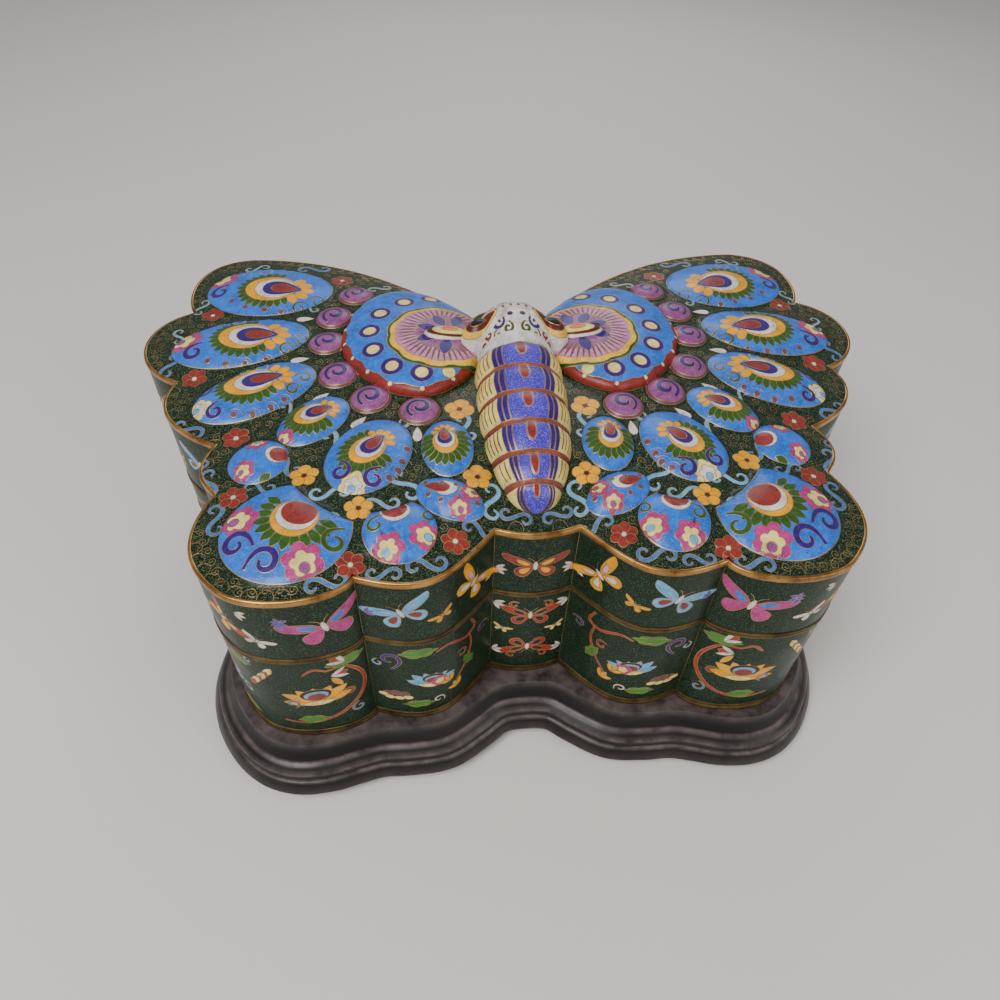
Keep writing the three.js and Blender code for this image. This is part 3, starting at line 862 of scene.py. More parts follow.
def on_wall(at):
    """A place on the box's side from the distance round the outline and the height."""
    x = np.interp(at[:, 0], RUN, HALF[:, 0])
    y = np.interp(at[:, 0], RUN, HALF[:, 1])
    return np.column_stack([x, y, at[:, 1]])


# ---- Figures ---------------------------------------------------------------------------------

ROSE = ("rose", "cream", "mauve")
ROSE_AND_SKY = ("rose", "cream", "sky")
PALE = ("cream", "white", "sky")


def ray(degrees):
    """A step of one along an angle."""
    turn = math.radians(degrees)
    return np.array([math.cos(turn), math.sin(turn)])


def lay(design, figures):
    """Figures laid one over another; each row is a figure's function and what it takes."""
    for figure, *values in figures:
        figure(design, *values)


def lobed(x, y, radius, lobes, depth=0.12, turn=0.0):
    """A round with a scalloped edge."""
    count = max(lobes * 6, round(FULL_TURN * radius / 0.7))
    t = np.arange(count) / count * FULL_TURN
    r = radius * (1 - depth + depth * np.abs(np.cos((t - turn) * lobes / 2)) ** 0.7 * 1.6)
    return np.stack([x + r * np.cos(t), y + r * np.sin(t)], 1)


def blossom(design, x, y, radius, colours, field, away):
    """A flower: a lobed round, a smaller one on it, and a heart towards its outer side."""
    outer, petal, heart = colours
    turn = math.radians(away)
    out = ray(away)
    design.cell(lobed(x, y, radius, 6, 0.2, turn), outer, field)
    design.cell(lobed(*((x, y) + out * radius * 0.1), radius * 0.62, 5, 0.26, turn + math.pi), petal, field)
    design.cell(ellipse(*((x, y) + out * radius * 0.34), radius * 0.3, step=0.6), heart, field)


def rosette(design, x, y, radius, petal, heart, petals):
    """A flower whose fat petals meet, with a round heart."""
    wide = radius * 0.62 * math.sin(math.pi / petals) * 1.22
    for i in range(petals):
        angle = 0.3 + i / petals * FULL_TURN
        centre = (x + math.cos(angle) * radius * 0.6, y + math.sin(angle) * radius * 0.6)
        design.cell(ellipse(*centre, radius * 0.42, wide, math.degrees(angle), 0.6), petal)
    design.cell(ellipse(x, y, radius * 0.2, step=0.5), heart)


def scroll(design, x, y, angle, size, colour, hand, turns, tail, width=None, field=None):
    """A tapering curl of one colour."""
    line = spiral(x, y, size, turns, angle, tail * size, hand, 0.6)
    line = line[len(line) // 6:]
    design.cell(band(line, width or size * 0.48), colour, field)


def double_scroll(design, x, y, angle, size, colour, hand):
    """One thick stroke that curls up at both ends, the opposite way round at each."""
    curl = spiral(0, 0, size, 0.95, 0, size * 1.3, hand, 0.6)
    curl = curl[len(curl) // 6:] - curl[-1]
    stroke = np.vstack([curl, -curl[-2::-1]])
    design.cell(band(turned(stroke, angle - 65 * hand, (x, y)), size * 0.55), colour)


def feather_eye(design, field, tip, angle, length, leaves):
    """A peacock-feather eye that points at a place: nested drops and rounds in a tuft of leaves.

    The leaves fan out between two turns from the eye's own angle, so many of them.
    """
    k = length / 17.5

    def place(u, v):
        return turned([(u * k, v * k)], angle, tip)[0]

    for turn in np.linspace(*leaves):
        root = place(*((14, 0) + ray(turn) * (9.4, 7.8)))
        design.cell(leaf(*root, angle + turn * 0.9, 5 + k, 2.6 + k * 0.4, 0.8), "leaf", field)
    design.cell(ellipse(*place(14, 0), 11.3 * k, 9.1 * k, angle), "yellow", field)
    design.cell(ellipse(*place(12.3, 0), 8.7 * k, 7.4 * k, angle), "white", field)
    for u, v in ((3.2, 6.4), (-0.2, 3.9), (-1.9, 0.2), (-0.6, -3.6), (2.6, -6.4)):
        turn = angle + math.degrees(math.atan2(v, u - 7))
        design.cell(ellipse(*place(u, v), 3 * k, 2.1 * k, turn, 0.7), "yellow", field)
    design.cell(drop(*tip, angle, length, 12 * k), "purple", field)
    design.cell(drop(*place(2, 0), angle, 11.8 * k, 7.4 * k), "red", field)


def beads(design, field, places):
    """Small round dots, each under its own arch of wire."""
    t = np.linspace(0.15, math.pi - 0.15, 9)
    for x, y in places:
        design.cell(ellipse(x, y, 1.15, step=0.5), "plum", field)
        design.line(np.stack([x + 3.2 * np.cos(t), y - 1.2 + 3.4 * np.sin(t)], 1), FINE)


# ---- Lid's top -------------------------------------------------------------------------------

TOP_STEP = 1.8


def on_top(at):
    """A place on the lid's top from its plan."""
    return np.column_stack([at, lid_height(np.abs(at) * (1, 0) + at * (0, 1))])


def top_outline():
    """Half of the lid's top, just inside its edge strip, closed along X = 0."""
    edge = outset(OUTLINE, -0.7)[:len(HALF)]
    edge[[0, -1], 0] = 0
    seam = np.arange(HALF[-1][1] - TOP_STEP, HALF[0][1] + TOP_STEP * 0.5, -TOP_STEP)
    return np.vstack([edge, np.column_stack([np.zeros(len(seam)), seam])])


def ground_figures(top):
    """Scrolls, flowers and drops between the raised fields."""
    for x, y, angle, size, colour, hand in (
        (136.4, 25, 96, 3, "scroll", 1), (86, 96, 168, 3.2, "scroll", 1),
        (115.6, -27.4, 60, 2.8, "scroll", 1), (14.6, -56.6, 88, 3, "sky", 1),
        (7, -62.6, 30, 2.4, "scroll", -1), (43.6, -49.4, 62, 3.2, "sky", -1), (51, -57.4, -8, 2.6, "sky", 1),
        (84, -36.6, 40, 3, "scroll", 1), (68, -51.4, 4, 3, "sky", -1), (36.6, -80.8, 168, 2.8, "scroll", 1),
        (50, -83.4, 10, 2.4, "scroll", -1), (67.4, -86, 160, 2.8, "scroll", 1),
        (104.6, -58.6, 74, 3, "scroll", 1),
        (55.2, 75.4, 142, 2.4, "mist", 1), (85.6, -7.6, 40, 2.2, "mist", 1), (21.6, -23.6, 70, 3, "sky", 1),
        (67.6, -26.4, 40, 3, "mist", 1), (131.8, 66.6, 100, 2.4, "mist", 1), (19, -68, 10, 2.6, "scroll", 1),
        (84, 58, 30, 1.8, "mist", 1), (110, -41, 84, 2.8, "scroll", -1), (122, -13, 40, 2.8, "scroll", -1),
        (46.6, -22.4, -50, 2.6, "mist", 1), (66, -66, 70, 2.6, "sky", 1), (92, -46, 10, 2.4, "scroll", 1),
        (136.8, 44, 84, 2.4, "mist", -1), (112, 97.6, 170, 2.4, "mist", -1),
    ):
        double_scroll(top, x, y, angle, size, colour, hand)
    for x, y, radius in ((125.8, 59.6, 5), (125.3, 15.8, 5), (104, -19.6, 5), (100.4, -49.2, 5),
                         (60.2, -80, 4.6), (72.2, 83, 5), (27.4, -72.6, 4.6)):
        rosette(top, x, y, radius, "red", "white", 6)
    for x, y, radius, petals in ((23.4, -14, 5.4, 4), (18.8, -47.2, 5, 5), (58.4, -58.8, 4.8, 5),
                                 (77.4, -42.6, 5, 5)):
        rosette(top, x, y, radius, "yellow", "brown", petals)
    for x, y, angle in ((81.6, 49.9, 2), (81, 21.6, -8), (71.8, -0.4, -38), (57.4, -15, -46),
                        (38.9, -22.6, -90)):
        top.cell(drop(x, y, angle, 7.4, 3.8), "white")


def feather_fields(top):
    """The six fields with a feather eye, and the flowers, curls and beads at their outer ends."""
    for field, tip, angle, length, leaves in (
        ("a", (88.1, 69.1), 12, 17.5, (-150, 100, 18)), ("b", (94.2, 35.6), 4, 16.8, (-150, 100, 18)),
        ("c", (89.4, 9.2), -11, 15.6, (-150, 100, 18)), ("d", (69.5, -10.9), -24, 10.2, (-120, 80, 13)),
        ("e", (50.2, -29), -49, 11, (-100, 140, 15)), ("f", (29.9, -26.6), -96, 8.6, (-125, 125, 14)),
    ):
        feather_eye(top, field, tip, angle, length, leaves)
    lay(top, [
        (blossom, 125.3, 85.4, 6.6, ROSE, "a", 20), (blossom, 132.2, 37.9, 6.4, ROSE, "b", 0),
        (blossom, 119.2, -4.6, 4.4, PALE, "c", -30), (blossom, 60.4, -50, 4.6, PALE, "e", -70),
        (blossom, 86.2, -24, 3.6, ROSE, "d", -42),
    ])
    for field, x, y, angle, size, hand in (
        ("a", 124.4, 74.4, 60, 4, 1), ("b", 127.4, 29.4, 60, 4, 1), ("c", 119.9, 6, 200, 3.2, -1),
        ("c", 113, -7, 40, 3.2, 1), ("e", 65, -44, 150, 3.4, -1), ("e", 53.4, -48, 60, 3.4, 1),
    ):
        scroll(top, x, y, angle, size, "purple", hand, 1.2, 1.2, field=field)
    for field, x, y, angle, size, hand in (
        ("a", 88.5, 57.8, 100, 3.2, 1), ("a", 81.3, 62, 60, 3.4, -1), ("b", 90.5, 27.8, 110, 3.2, 1),
        ("b", 85.2, 33.2, 60, 3.2, -1), ("c", 85.2, 1.5, 110, 2.8, 1), ("c", 81.8, 8.3, 60, 2.8, -1),
    ):
        scroll(top, x, y, angle, size, "leaf", hand, 1.25, 0.9, 0.9, field)
    for field, x, y, angle, size in (("a", 107, 88.5, 170, 3.4), ("b", 113, 49, 170, 3),
                                     ("c", 99, 15.5, 160, 2.8)):
        scroll(top, x, y, angle, size, "sky", -1, 1.1, 2.4, 0.9, field)
        scroll(top, x + size * 2.4, y - size * 0.3, angle + 30, size * 0.7, "sky", 1, 1.0, 1.0, 0.8, field)
    beads(top, "a", [(118.4, 66.1), (111.7, 60.9), (103.2, 57.7), (96.2, 56)])
    beads(top, "b", [(120.9, 23.4), (113.7, 20.9), (106.1, 20.9), (98, 22.3)])
    beads(top, "c", [(105.8, -9.4), (99, -9.5), (92.6, -6.8), (88.1, -3.4)])
    beads(top, "e", [(48.5, -47.4), (45.5, -44.3), (44.1, -40.6), (42.5, -34.9)])


def small_fields(top):
    """The small field beside the tail, and the bitten ones with their eye at the ground's bite."""
    top.cell(ellipse(29.8, -54, 4, 3.2, 20, 0.7), "white", "g")
    top.cell(drop(37, -51.6, -160, 9, 5.2, 0.7), "red", "g")
    lay(top, [(blossom, 25.4, -61.3, 3.6, ROSE, "g", -100), (blossom, 21.6, -55.5, 3.4, ROSE, "g", 170)])
    for dot in ((36.5, -50.2), (31.1, -51.6), (26.2, -52.7), (35.6, -55.8), (31.5, -58.7), (19.5, -59.4)):
        top.cell(ellipse(*dot, 0.9, step=0.5), "plum", "g")
    for turn in np.linspace(-158, 42, 13):
        top.cell(leaf(*((77.4, -62.4) + 7.6 * ray(turn)), turn, 6.4, 3.2, 0.8), "leaf", "i")
    shells = {"yellow": (1.5, 5.4, 5.6), "white": (0.7, 4.5, 4.9), "red": (-0.2, 3.6, 4.2)}
    for field, x, y, size, angle in (("i", 77, -61.8, 1.4, -58), ("h", 46.6, -61.6, 1, -106),
                                     ("j", 87, -32.6, 0.8, 4)):
        for colour, (out, long, wide) in shells.items():
            if field == "i" or colour != "yellow":
                at = turned([(out * size, 0)], angle, (x, y))[0]
                top.cell(ellipse(*at, long * size, wide * size, angle), colour, field)
    lay(top, [
        (blossom, 48.4, -75.6, 4.8, ROSE_AND_SKY, "h", -60),
        (blossom, 37.2, -71.4, 4.6, ROSE_AND_SKY, "h", -150),
        (scroll, 52.6, -67.4, 60, 2.8, "leaf", 1, 1.1, 1.2, 1, "h"),
        (scroll, 35.4, -64, 100, 2.4, "leaf", 1, 1.1, 1.2, 0.9, "h"),
        (blossom, 95.8, -62, 5.8, ROSE, "i", -10), (blossom, 74.4, -79.6, 6, ROSE, "i", -110),
        (scroll, 96, -71.6, 130, 4.4, "purple", 1, 1.2, 1.3, None, "i"),
        (scroll, 86, -79, 50, 4.6, "purple", -1, 1.2, 1.3, None, "i"),
        (scroll, 65, -72.6, 60, 4, "leaf", 1, 1.2, 1.2, 1.6, "i"),
        (blossom, 98, -38.9, 3.6, ROSE, "j", -40), (blossom, 94.9, -26.5, 3.6, ROSE_AND_SKY, "j", 80),
    ])
    top.cell(leaf(88.4, -41, -30, 5, 2.4), "leaf", "j")


def roundels(top):
    """The row of rounds between the wing's fields, each with a thick spiral."""
    for i, (form, (x, y)) in enumerate(zip(ROUNDEL_FORMS, ROUNDELS)):
        name = f"roundel_{i}"
        top.field(name, form.loop, "plum")
        top.cell(form.drawn(0.9), "mauve", name)
        scroll(top, x, y, -60, 4.9, "purple", -1, 1.4, 0, 2.1, name)


def inner_wing(top, dots=17, count=120):
    """A wavy red band with white dots round azure, and discs in purple rings."""
    top.field("heart", HEART_FORM.loop, "red")
    t = np.arange(count) / count * FULL_TURN
    way = np.stack([np.cos(t), np.sin(t)], 1)
    _, reach = HEART_FORM.share(HEART_CENTRE + way)
    wave = reach - 3 + 1.1 * np.abs(np.sin(t * dots / 2))
    top.cell(HEART_CENTRE + way * wave[:, None], "azure", "heart")
    for i in range(dots):
        turn = (i + 0.5) / dots * FULL_TURN
        edge = np.interp(turn, t, reach, period=FULL_TURN)
        dot = HEART_CENTRE + np.array([math.cos(turn), math.sin(turn)]) * (edge - 1.4)
        top.cell(ellipse(*dot, 0.8, step=0.5), "white", "heart")
    for x, y in ((43.6, 49.8), (53.2, 41.4), (57.2, 29.4), (55.4, 17.2), (48, 6.8), (36.8, 2.2), (32.4, 55)):
        top.cell(ellipse(x, y, 4.3, step=0.7), "purple", "heart")
        top.cell(ellipse(x, y, 2.6, step=0.6), "cream", "heart")
    top.cell(ellipse(26.6, 2.6, 2.5, step=0.6), "cream", "heart")


def fan(top):
    """Yellow scallops with a green edge, fine ribs, purple petals and the feeler across them."""
    x, y = FAN[:2]
    top.field("fan", fan_loop(1.2), "leaf")
    top.cell(fan_loop(), "straw", "fan")
    top.cell(fan_loop(-2.4, 0.7), "orchid", "fan")
    top.cell(lobed(x - 2, y - 0.5, 12, 9, 0.1), "mauve", "fan")
    for turn in np.linspace(-174, 174, 43):
        top.cell(leaf(*((x, y) + ray(turn) * 9.4), turn, 8.4, 0.8, 0.8), "plum", "fan")
    for turn in (64, 22, -20, -78, -140, 108):
        top.cell(leaf(*((25.4, 24.4) + ray(turn) * (4.6, 4.2)), turn, 9.4, 5, 0.8), "purple", "fan")
    top.field("feeler", FEELER_FORM.loop, "white")
    top.cell(FEELER_FORM.drawn(0.9) + (-0.2, 0.4), "brown", "feeler")
    top.cell(FEELER_FORM.drawn(0.72) + (-0.6, 0.5), "cream", "feeler")
    top.cell(FEELER_FORM.drawn(0.34) + (-0.6, 0.5), "orange", "feeler")


def ground_wires(top, scale=2.6, scale_wire=0.28):
    """Fine spirals on the bare ground, and a row of scales along the edge."""
    for row in range(50):
        for column in range(39):
            x = 3 + column * 4 + (row % 2) * 2
            y = -92 + row * 4.1
            hand = 1 if (row + column) % 2 else -1
            curl = spiral(x, y, 1.65, 1.4, (row * 67 + column * 131) % 360, 1.6, hand, 0.5)
            if top.free(curl, 0.55):
                top.line(curl, HAIR)
    inset = outset(OUTLINE, -1)[:len(HALF)]
    for s in np.arange(scale, RUN[-1] - scale, scale * 2):
        start, end = (np.array([np.interp(at, RUN, inset[:, k]) for k in range(2)])
                      for at in (s - scale, s + scale))
        inward = turned([end - start], 90)[0] / 4
        t = np.linspace(0, math.pi, 9)[:, None]
        arch = (start + end) / 2 - (end - start) / 2 * np.cos(t) + inward * 2.7 * np.sin(t)
        if top.free(arch[2:-2], 0.5):
            top.line(arch, scale_wire)


def make_top():
    """The lid's top with everything that is inlaid in it."""
    top = Design(top_outline(), on_top, TOP_STEP, "ground")
    for form in (*EYE_FORMS.values(), *ROUNDEL_FORMS, HEART_FORM):
        top.folds += [outset(form.loop, -0.5), outset(form.loop, -1.05)]
    ground_figures(top)
    for key, form in EYE_FORMS.items():
        top.field(key, form.loop, "azure")
    feather_fields(top)
    small_fields(top)
    roundels(top)
    inner_wing(top)
    fan(top)
    ground_wires(top)
    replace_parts(top.build("lid_top", lambda at: 0.5 + at / 320), "lid")


make_top()


# ---- Abdomen, head and eyes ------------------------------------------------------------------

TAIL_END = TAIL_ROUND[-1][0]
ABDOMEN_BACK = 12  # where its sheet ends, inside the head
RINGS = [ring[0] for ring in ABDOMEN[1:]] + [TAIL_END]
SPINE = np.array(ABDOMEN + TAIL_ROUND)[::-1]
QUARTER = math.pi / 2 * 10
BOW = 3.4  # how far a ring bows towards the tail over the abdomen's back
RING_SWELL = 0.06  # share by which a ring's middle is wider than its ends
RING_RISE = 1.7  # how much higher a ring's middle is than its ends
TAIL_FADE = 9  # length at the tail over which the rings' swelling dies out
TONGUE = np.array([(0, 0.3), (0.75, 0.3), (1, -3.4), (0.8, -5.6), (0.45, -6.7), (0, -7)])
TONGUE_RIM = [(0, 0), (0.3, 0), (0.3, -0.1), (0.3, -0.2), (0.2, -0.5), (0, -0.6)]
HEAD_DISC = 27  # radius of the flat disc that is drawn over the head
EYE_DISC = 12
HEAD_FOOT = crown(np.array([HEAD[:2]]))[0] - 0.8
HEAD_TALL = RIM_Z + CROWN_RISE + HEAD[4] - 0.4 - HEAD_FOOT
EYE_LAP = 1.1  # how far a compound eye's sheet rises over the head that it laps on
EYE_BLEND = 3  # height over which the eye's own shape turns into the head's


def abdomen_at(at):
    """A place on the abdomen from the turn over its back, times 10 mm, and the way along it."""
    turn = at[:, 0] / 10
    along = at[:, 1]
    half = np.interp(along, SPINE[:, 0], SPINE[:, 1])
    ridge = np.interp(along, SPINE[:, 0], SPINE[:, 2])
    phase = np.interp(along, RINGS[::-1], np.arange(len(RINGS))[::-1].astype(float))
    bulge = np.abs(np.sin(phase * math.pi)) ** 0.7
    fade = np.clip((along - TAIL_END) / TAIL_FADE, 0, 1)
    half = half * (0.93 + RING_SWELL * bulge * fade)
    base = crown(np.column_stack([np.zeros(len(at)), along])) - 0.6
    height = RIM_Z + ridge - 1.3 + RING_RISE * bulge * fade - base
    up = np.cos(turn)
    bow = BOW * np.clip(up, 0, 1) * fade
    return np.column_stack([half * np.sin(turn), along - bow + BOW, base + np.maximum(height, 0.8) * up])


def crossing(share_front, share_back, front, back, bulge=0.3, count=10):
    """A cell over the middle of the abdomen, its side bowed outward between two places."""
    reach = np.linspace(share_front, share_back, count)
    side = np.minimum(np.arcsin(np.clip(reach, 0, 0.999)) * 10, QUARTER - 0.02)
    side = side + bulge * np.sin(np.linspace(0, math.pi, count)) * (side < QUARTER - 0.1)
    return np.vstack([np.column_stack([side, np.linspace(front, back, count)]), [(0, back), (0, front)]])


def make_abdomen():
    """Rings of cream, purple, lilac and violet with a red tongue on each, between brown bands."""
    edge = np.linspace(TAIL_END, ABDOMEN_BACK, 56)
    over = np.linspace(QUARTER, 0, 14)
    outline = np.vstack([
        np.column_stack([np.full(56, QUARTER), edge]),
        np.column_stack([over[1:], np.full(13, ABDOMEN_BACK)]),
        np.column_stack([np.zeros(55), edge[-2::-1]]),
        np.column_stack([over[-2:0:-1], np.full(12, TAIL_END)]),
    ])
    design = Design(outline, abdomen_at, 1.5, "band")
    design.cell(crossing(1, 1, 5.6, ABDOMEN_BACK), "white")
    for i, (high_end, low_end) in enumerate(zip(RINGS, RINGS[1:])):
        last = i == len(RINGS) - 2
        front = low_end + (0 if last else 1)
        back = high_end - 1
        for colour, share in (("cream", 1), ("purple", 0.62), ("lilac", 0.53), ("purple", 0.51),
                              ("lilac", 0.41), ("violet", 0.39)):
            end = min(0.98, share * 1.75) if last and share < 1 else share
            design.cell(crossing(end, share, front, back), colour)
        run = np.linspace(front + 1, back - 1, 9)
        for share in ((0.72, 0.8, 0.88, 0.94) if i < 4 else (0.74, 0.86) if not last else ()):
            side = math.asin(share) * 10 + 0.35 * np.sin(np.linspace(0, math.pi, 9))
            design.line(np.column_stack([side, run]), 0.6)
        tongue = TONGUE * (1, 0.7 if last else 1) + (0, back)
        design.cell(tongue + TONGUE_RIM, "lilac")
        design.cell(tongue, "red")
    design.build("abdomen", lambda at: np.column_stack([0.5 + at[:, 0] / 33, (at[:, 1] + 68) / 84]))


def over_dome(at, disc):
    """Share of the way out across and along, and the height, of a round dome's places on its disc."""
    out = np.minimum(np.hypot(at[:, 0], at[:, 1]) / disc, 1) * math.pi / 2
    turn = np.arctan2(at[:, 1], at[:, 0])
    return np.sin(out) * np.cos(turn), np.sin(out) * np.sin(turn), np.cos(out)


def on_head(at):
    """A place on the head from its disc."""
    across, along, up = over_dome(at, HEAD_DISC)
    x, y, long, wide, _ = HEAD
    return np.column_stack([x + long * across, y + wide * along, HEAD_FOOT + HEAD_TALL * up])


def on_eye(at):
    """A place on a compound eye, which bulges from the head's side and laps over its top."""
    across, along, up = over_dome(at, EYE_DISC)
    x, y, long, wide, rise = FACE_EYE
    plan = turned(np.column_stack([long * across, wide * along]), FACE_EYE_TURN, (x, y))
    foot = HEAD_FOOT - 1
    own = foot + (RIM_Z + CROWN_RISE + rise + 0.4 - foot) * up ** 0.7
    out = ((plan[:, 0] - HEAD[0]) / HEAD[2]) ** 2 + ((plan[:, 1] - HEAD[1]) / HEAD[3]) ** 2
    head = HEAD_FOOT + HEAD_TALL * np.sqrt(np.clip(1 - out, 0, 1)) - 0.3 + EYE_LAP * up ** 0.5
    blend = np.clip(0.5 + (own - head) / EYE_BLEND, 0, 1)
    return np.column_stack([plan, own * blend + head * (1 - blend) + EYE_BLEND / 4 * blend * (1 - blend)])


def make_head():
    """A white dome with brows, nostrils and small curls on its face, and larger curls behind."""
    edge = np.linspace(0, math.pi, 60)
    rim = HEAD_DISC - 0.03
    outline = np.vstack([np.column_stack([rim * np.sin(edge), -rim * np.cos(edge)]),
                         np.column_stack([np.zeros(30), np.linspace(rim, -rim, 32)[1:-1]])])
    design = Design(outline, on_head, 2, "white")
    for x, y in ((1.5, 4.3), (4.6, 4), (7.6, 3.4), (10.4, 2.4)):
        design.cell(ellipse(x, y, 0.5, 1.4, -x * 2, 0.5), "plum")
    for lift, sag in ((6.2, 0.03), (2, 0.034)):
        x = np.linspace(0, 11, 14)
        design.line(np.column_stack([x, lift - sag * x * x]), FINE)
    design.line(spline([(3.4, 1.6), (5.6, -2.4), (4.2, -5), (0, -6.4)], 0.7), FINE)
    design.cell(ellipse(2.4, -1.6, 1.1, 1, 0, 0.4), "navy")
    for x, y, angle, size, colour, hand, turns, tail, width in (
        (7.4, -4.6, 200, 2.3, "purple", -1, 1.2, 1.1, 1.3), (3.6, -7.6, 160, 1.9, "leaf", -1, 1.2, 1.2, 1.1),
        (8, -9.4, 20, 1.7, "leaf", 1, 1.1, 1.2, 1), (12, -7.6, 30, 1.7, "red", 1, 1.1, 1.1, 1),
        (14.6, -10.6, 200, 2, "red", -1, 1.2, 1.1, 1.1), (2.4, -10.9, 20, 1.4, "rose", 1, 1.1, 1, 0.9),
        (5.8, -12, 160, 1.5, "leaf", -1, 1.1, 1, 0.9), (10.4, -12.4, 30, 1.4, "scroll", 1, 1.1, 1, 0.9),
        (4.6, 9.6, 20, 2.3, "leaf", 1, 1.1, 1.2, 1.1), (10.6, 8, 200, 2, "purple", 1, 1.1, 1.2, 1.1),
        (5.4, 15.6, 160, 2.2, "red", 1, 1.1, 1.2, 1.1), (12, 13.2, 30, 1.9, "leaf", 1, 1.1, 1.2, 1.1),
        (16.2, 6.6, 90, 1.8, "red", 1, 1.1, 1.2, 1.1), (2.2, 20.4, 20, 1.8, "leaf", 1, 1.1, 1.2, 1.1),
        (9.6, 19.6, 200, 1.8, "purple", 1, 1.1, 1.2, 1.1),
    ):
        scroll(design, x, y, angle, size, colour, hand, turns, tail, width)
    for x, y, angle in ((6, -16.4, 80), (13, -13.4, 60), (1.6, -4.6, 20), (10.4, -5.2, 90), (18, -12, 90)):
        curl = spiral(x, y, 1.2, 1.3, angle, 1.2, 1, 0.5)
        if design.free(curl, 0.5):
            design.line(curl, HAIR)
    design.build("head", lambda at: 0.5 + at / 57)


def make_eyes():
    """Compound eyes: brown almonds in straw yellow with a dark pupil."""
    design = Design(ellipse(0, 0, EYE_DISC - 0.02, step=1.1), on_eye, 1.2, "white")
    design.cell(drop(-11, 2.6, -12, 19, 13.8, 0.8), "straw")
    design.cell(drop(-7.8, 1.8, -12, 13.6, 10, 0.8), "brown")
    design.cell(ellipse(0.8, 0, 3, 2.2, -12, 0.7), "coal")
    design.build("compound_eyes", lambda at: np.column_stack([0.75 + at[:, 0] / 50, 0.5 + at[:, 1] / 25]))


make_abdomen()
make_head()
make_eyes()


# ---- Walls -----------------------------------------------------------------------------------

FORE_WING = [(0.05, 0.04), (0.25, 0.26), (0.6, 0.42), (1, 0.5), (0.93, 0.26), (0.66, 0.1), (0.36, 0),
             (0.1, -0.02)]
HIND_WING = [(0.08, -0.02), (0.38, -0.04), (0.6, -0.16), (0.58, -0.4), (0.34, -0.5), (0.14, -0.28)]
FORE_PATCH = [(0.16, 0.08), (0.3, 0.22), (0.56, 0.3), (0.5, 0.14), (0.3, 0.04)]
HIND_PATCH = [(0.16, -0.08), (0.36, -0.1), (0.48, -0.22), (0.4, -0.36), (0.24, -0.28)]
FEELERS = np.array([(0.02, 0.14), (0.1, 0.3), (0.24, 0.4)])


def butterfly(design, s, z, span, angle, colours, body="white", sides=(-1, 1)):
    """A butterfly from above; its colours are the fore and hind wing's, then their patches'."""
    fore, hind, fore_patch, hind_patch = colours.split()
    parts = ((HIND_WING, hind), (FORE_WING, fore), (HIND_PATCH, hind_patch), (FORE_PATCH, fore_patch))
    for side in sides:
        for knots, colour in parts:
            if colour != "-":
                loop = spline(np.array(knots) * (side * span, span), 0.7, closed=True)
                design.cell(turned(loop, angle, (s, z)), colour)
    feeler = spline(FEELERS * span, 0.8)
    for side in sides:
        design.line(turned(feeler * (side, 1), angle, (s, z)), FINE)
    design.cell(turned(ellipse(0, 0.02 * span, 0.07 * span, 0.2 * span, 0, 0.4), angle, (s, z)), body)


def half_flower(design, s, z, size, angle, colour="white"):
    """Three loose petals."""
    for turn in (-38, 0, 38):
        design.cell(leaf(s, z, angle + turn, size, size * 0.36, 0.6), colour)


def loose_petal(design, s, z, angle, length, width, colour):
    """A petal by itself."""
    design.cell(leaf(s, z, angle, length, width), colour)


def two_leaves(design, s, z):
    """A cream leaf with a red one at its foot."""
    design.cell(leaf(s, z, 120, 6, 3), "cream")
    design.cell(leaf(s + 1.4, z - 1.8, 120, 5, 2.6), "brick")


def pebbles(design, long, wide, colour, places):
    """Flat rounds of one size."""
    for s, z in places:
        design.cell(ellipse(s, z, long, wide, 0, 0.6), colour)


def flower_heart(design, s, z, radius, colour):
    """A small round with five scallops."""
    design.cell(lobed(s, z, radius, 5), colour)


def frond(design, s, z, angle, length, width):
    """A serrated leaf: a long blade with two shorter ones on each side of it."""
    for turn, start, reach in ((-16, 0.1, 0.5), (16, 0.14, 0.46), (-14, 0.4, 0.44), (14, 0.44, 0.4),
                               (0, 0, 1)):
        root = turned([(length * start, 0)], angle, (s, z))[0]
        design.cell(leaf(*root, angle + turn, length * reach, width * (0.8 if turn else 0.7), 0.7), "grass")


def vine(design, knots, width=1.3):
    """A stem that tapers at both ends."""
    design.cell(band(spline(knots, 0.8), width, 0.5), "brick")


def bud(design, s, z, size, angle):
    """A red bud between two white petals."""
    for turn, reach, width, colour in ((0, 1, 0.62, "brick"), (26, 1.05, 0.3, "white"),
                                       (-26, 1.05, 0.3, "white")):
        design.cell(leaf(s, z, angle + turn, size * reach, size * width, 0.6), colour)


def peony(design, s, z, size, colour, angle):
    """A curling wall flower: spread petals under a red and sky-blue heart."""
    def put(shape, shade):
        design.cell(turned(shape, angle, (s, z)), shade)

    for turn, reach in ((-84, 1.2), (84, 1.2), (-60, 1.3), (60, 1.3), (-34, 1.05), (34, 1.05), (0, 0.9)):
        put(leaf(0, -0.3 * size, 90 + turn, size * reach, size * 0.44, 0.7), colour)
    for up, long, wide, shade in ((0.16, 0.54, 0.34, "coal"), (0.1, 0.42, 0.26, "sky"),
                                  (0, 0.32, 0.22, "red")):
        put(ellipse(0, up * size, long * size, wide * size, 0, 0.6), shade)
    put(leaf(-0.6 * size, -0.4 * size, 0, 1.2 * size, 0.3 * size, 0.6), "cream")


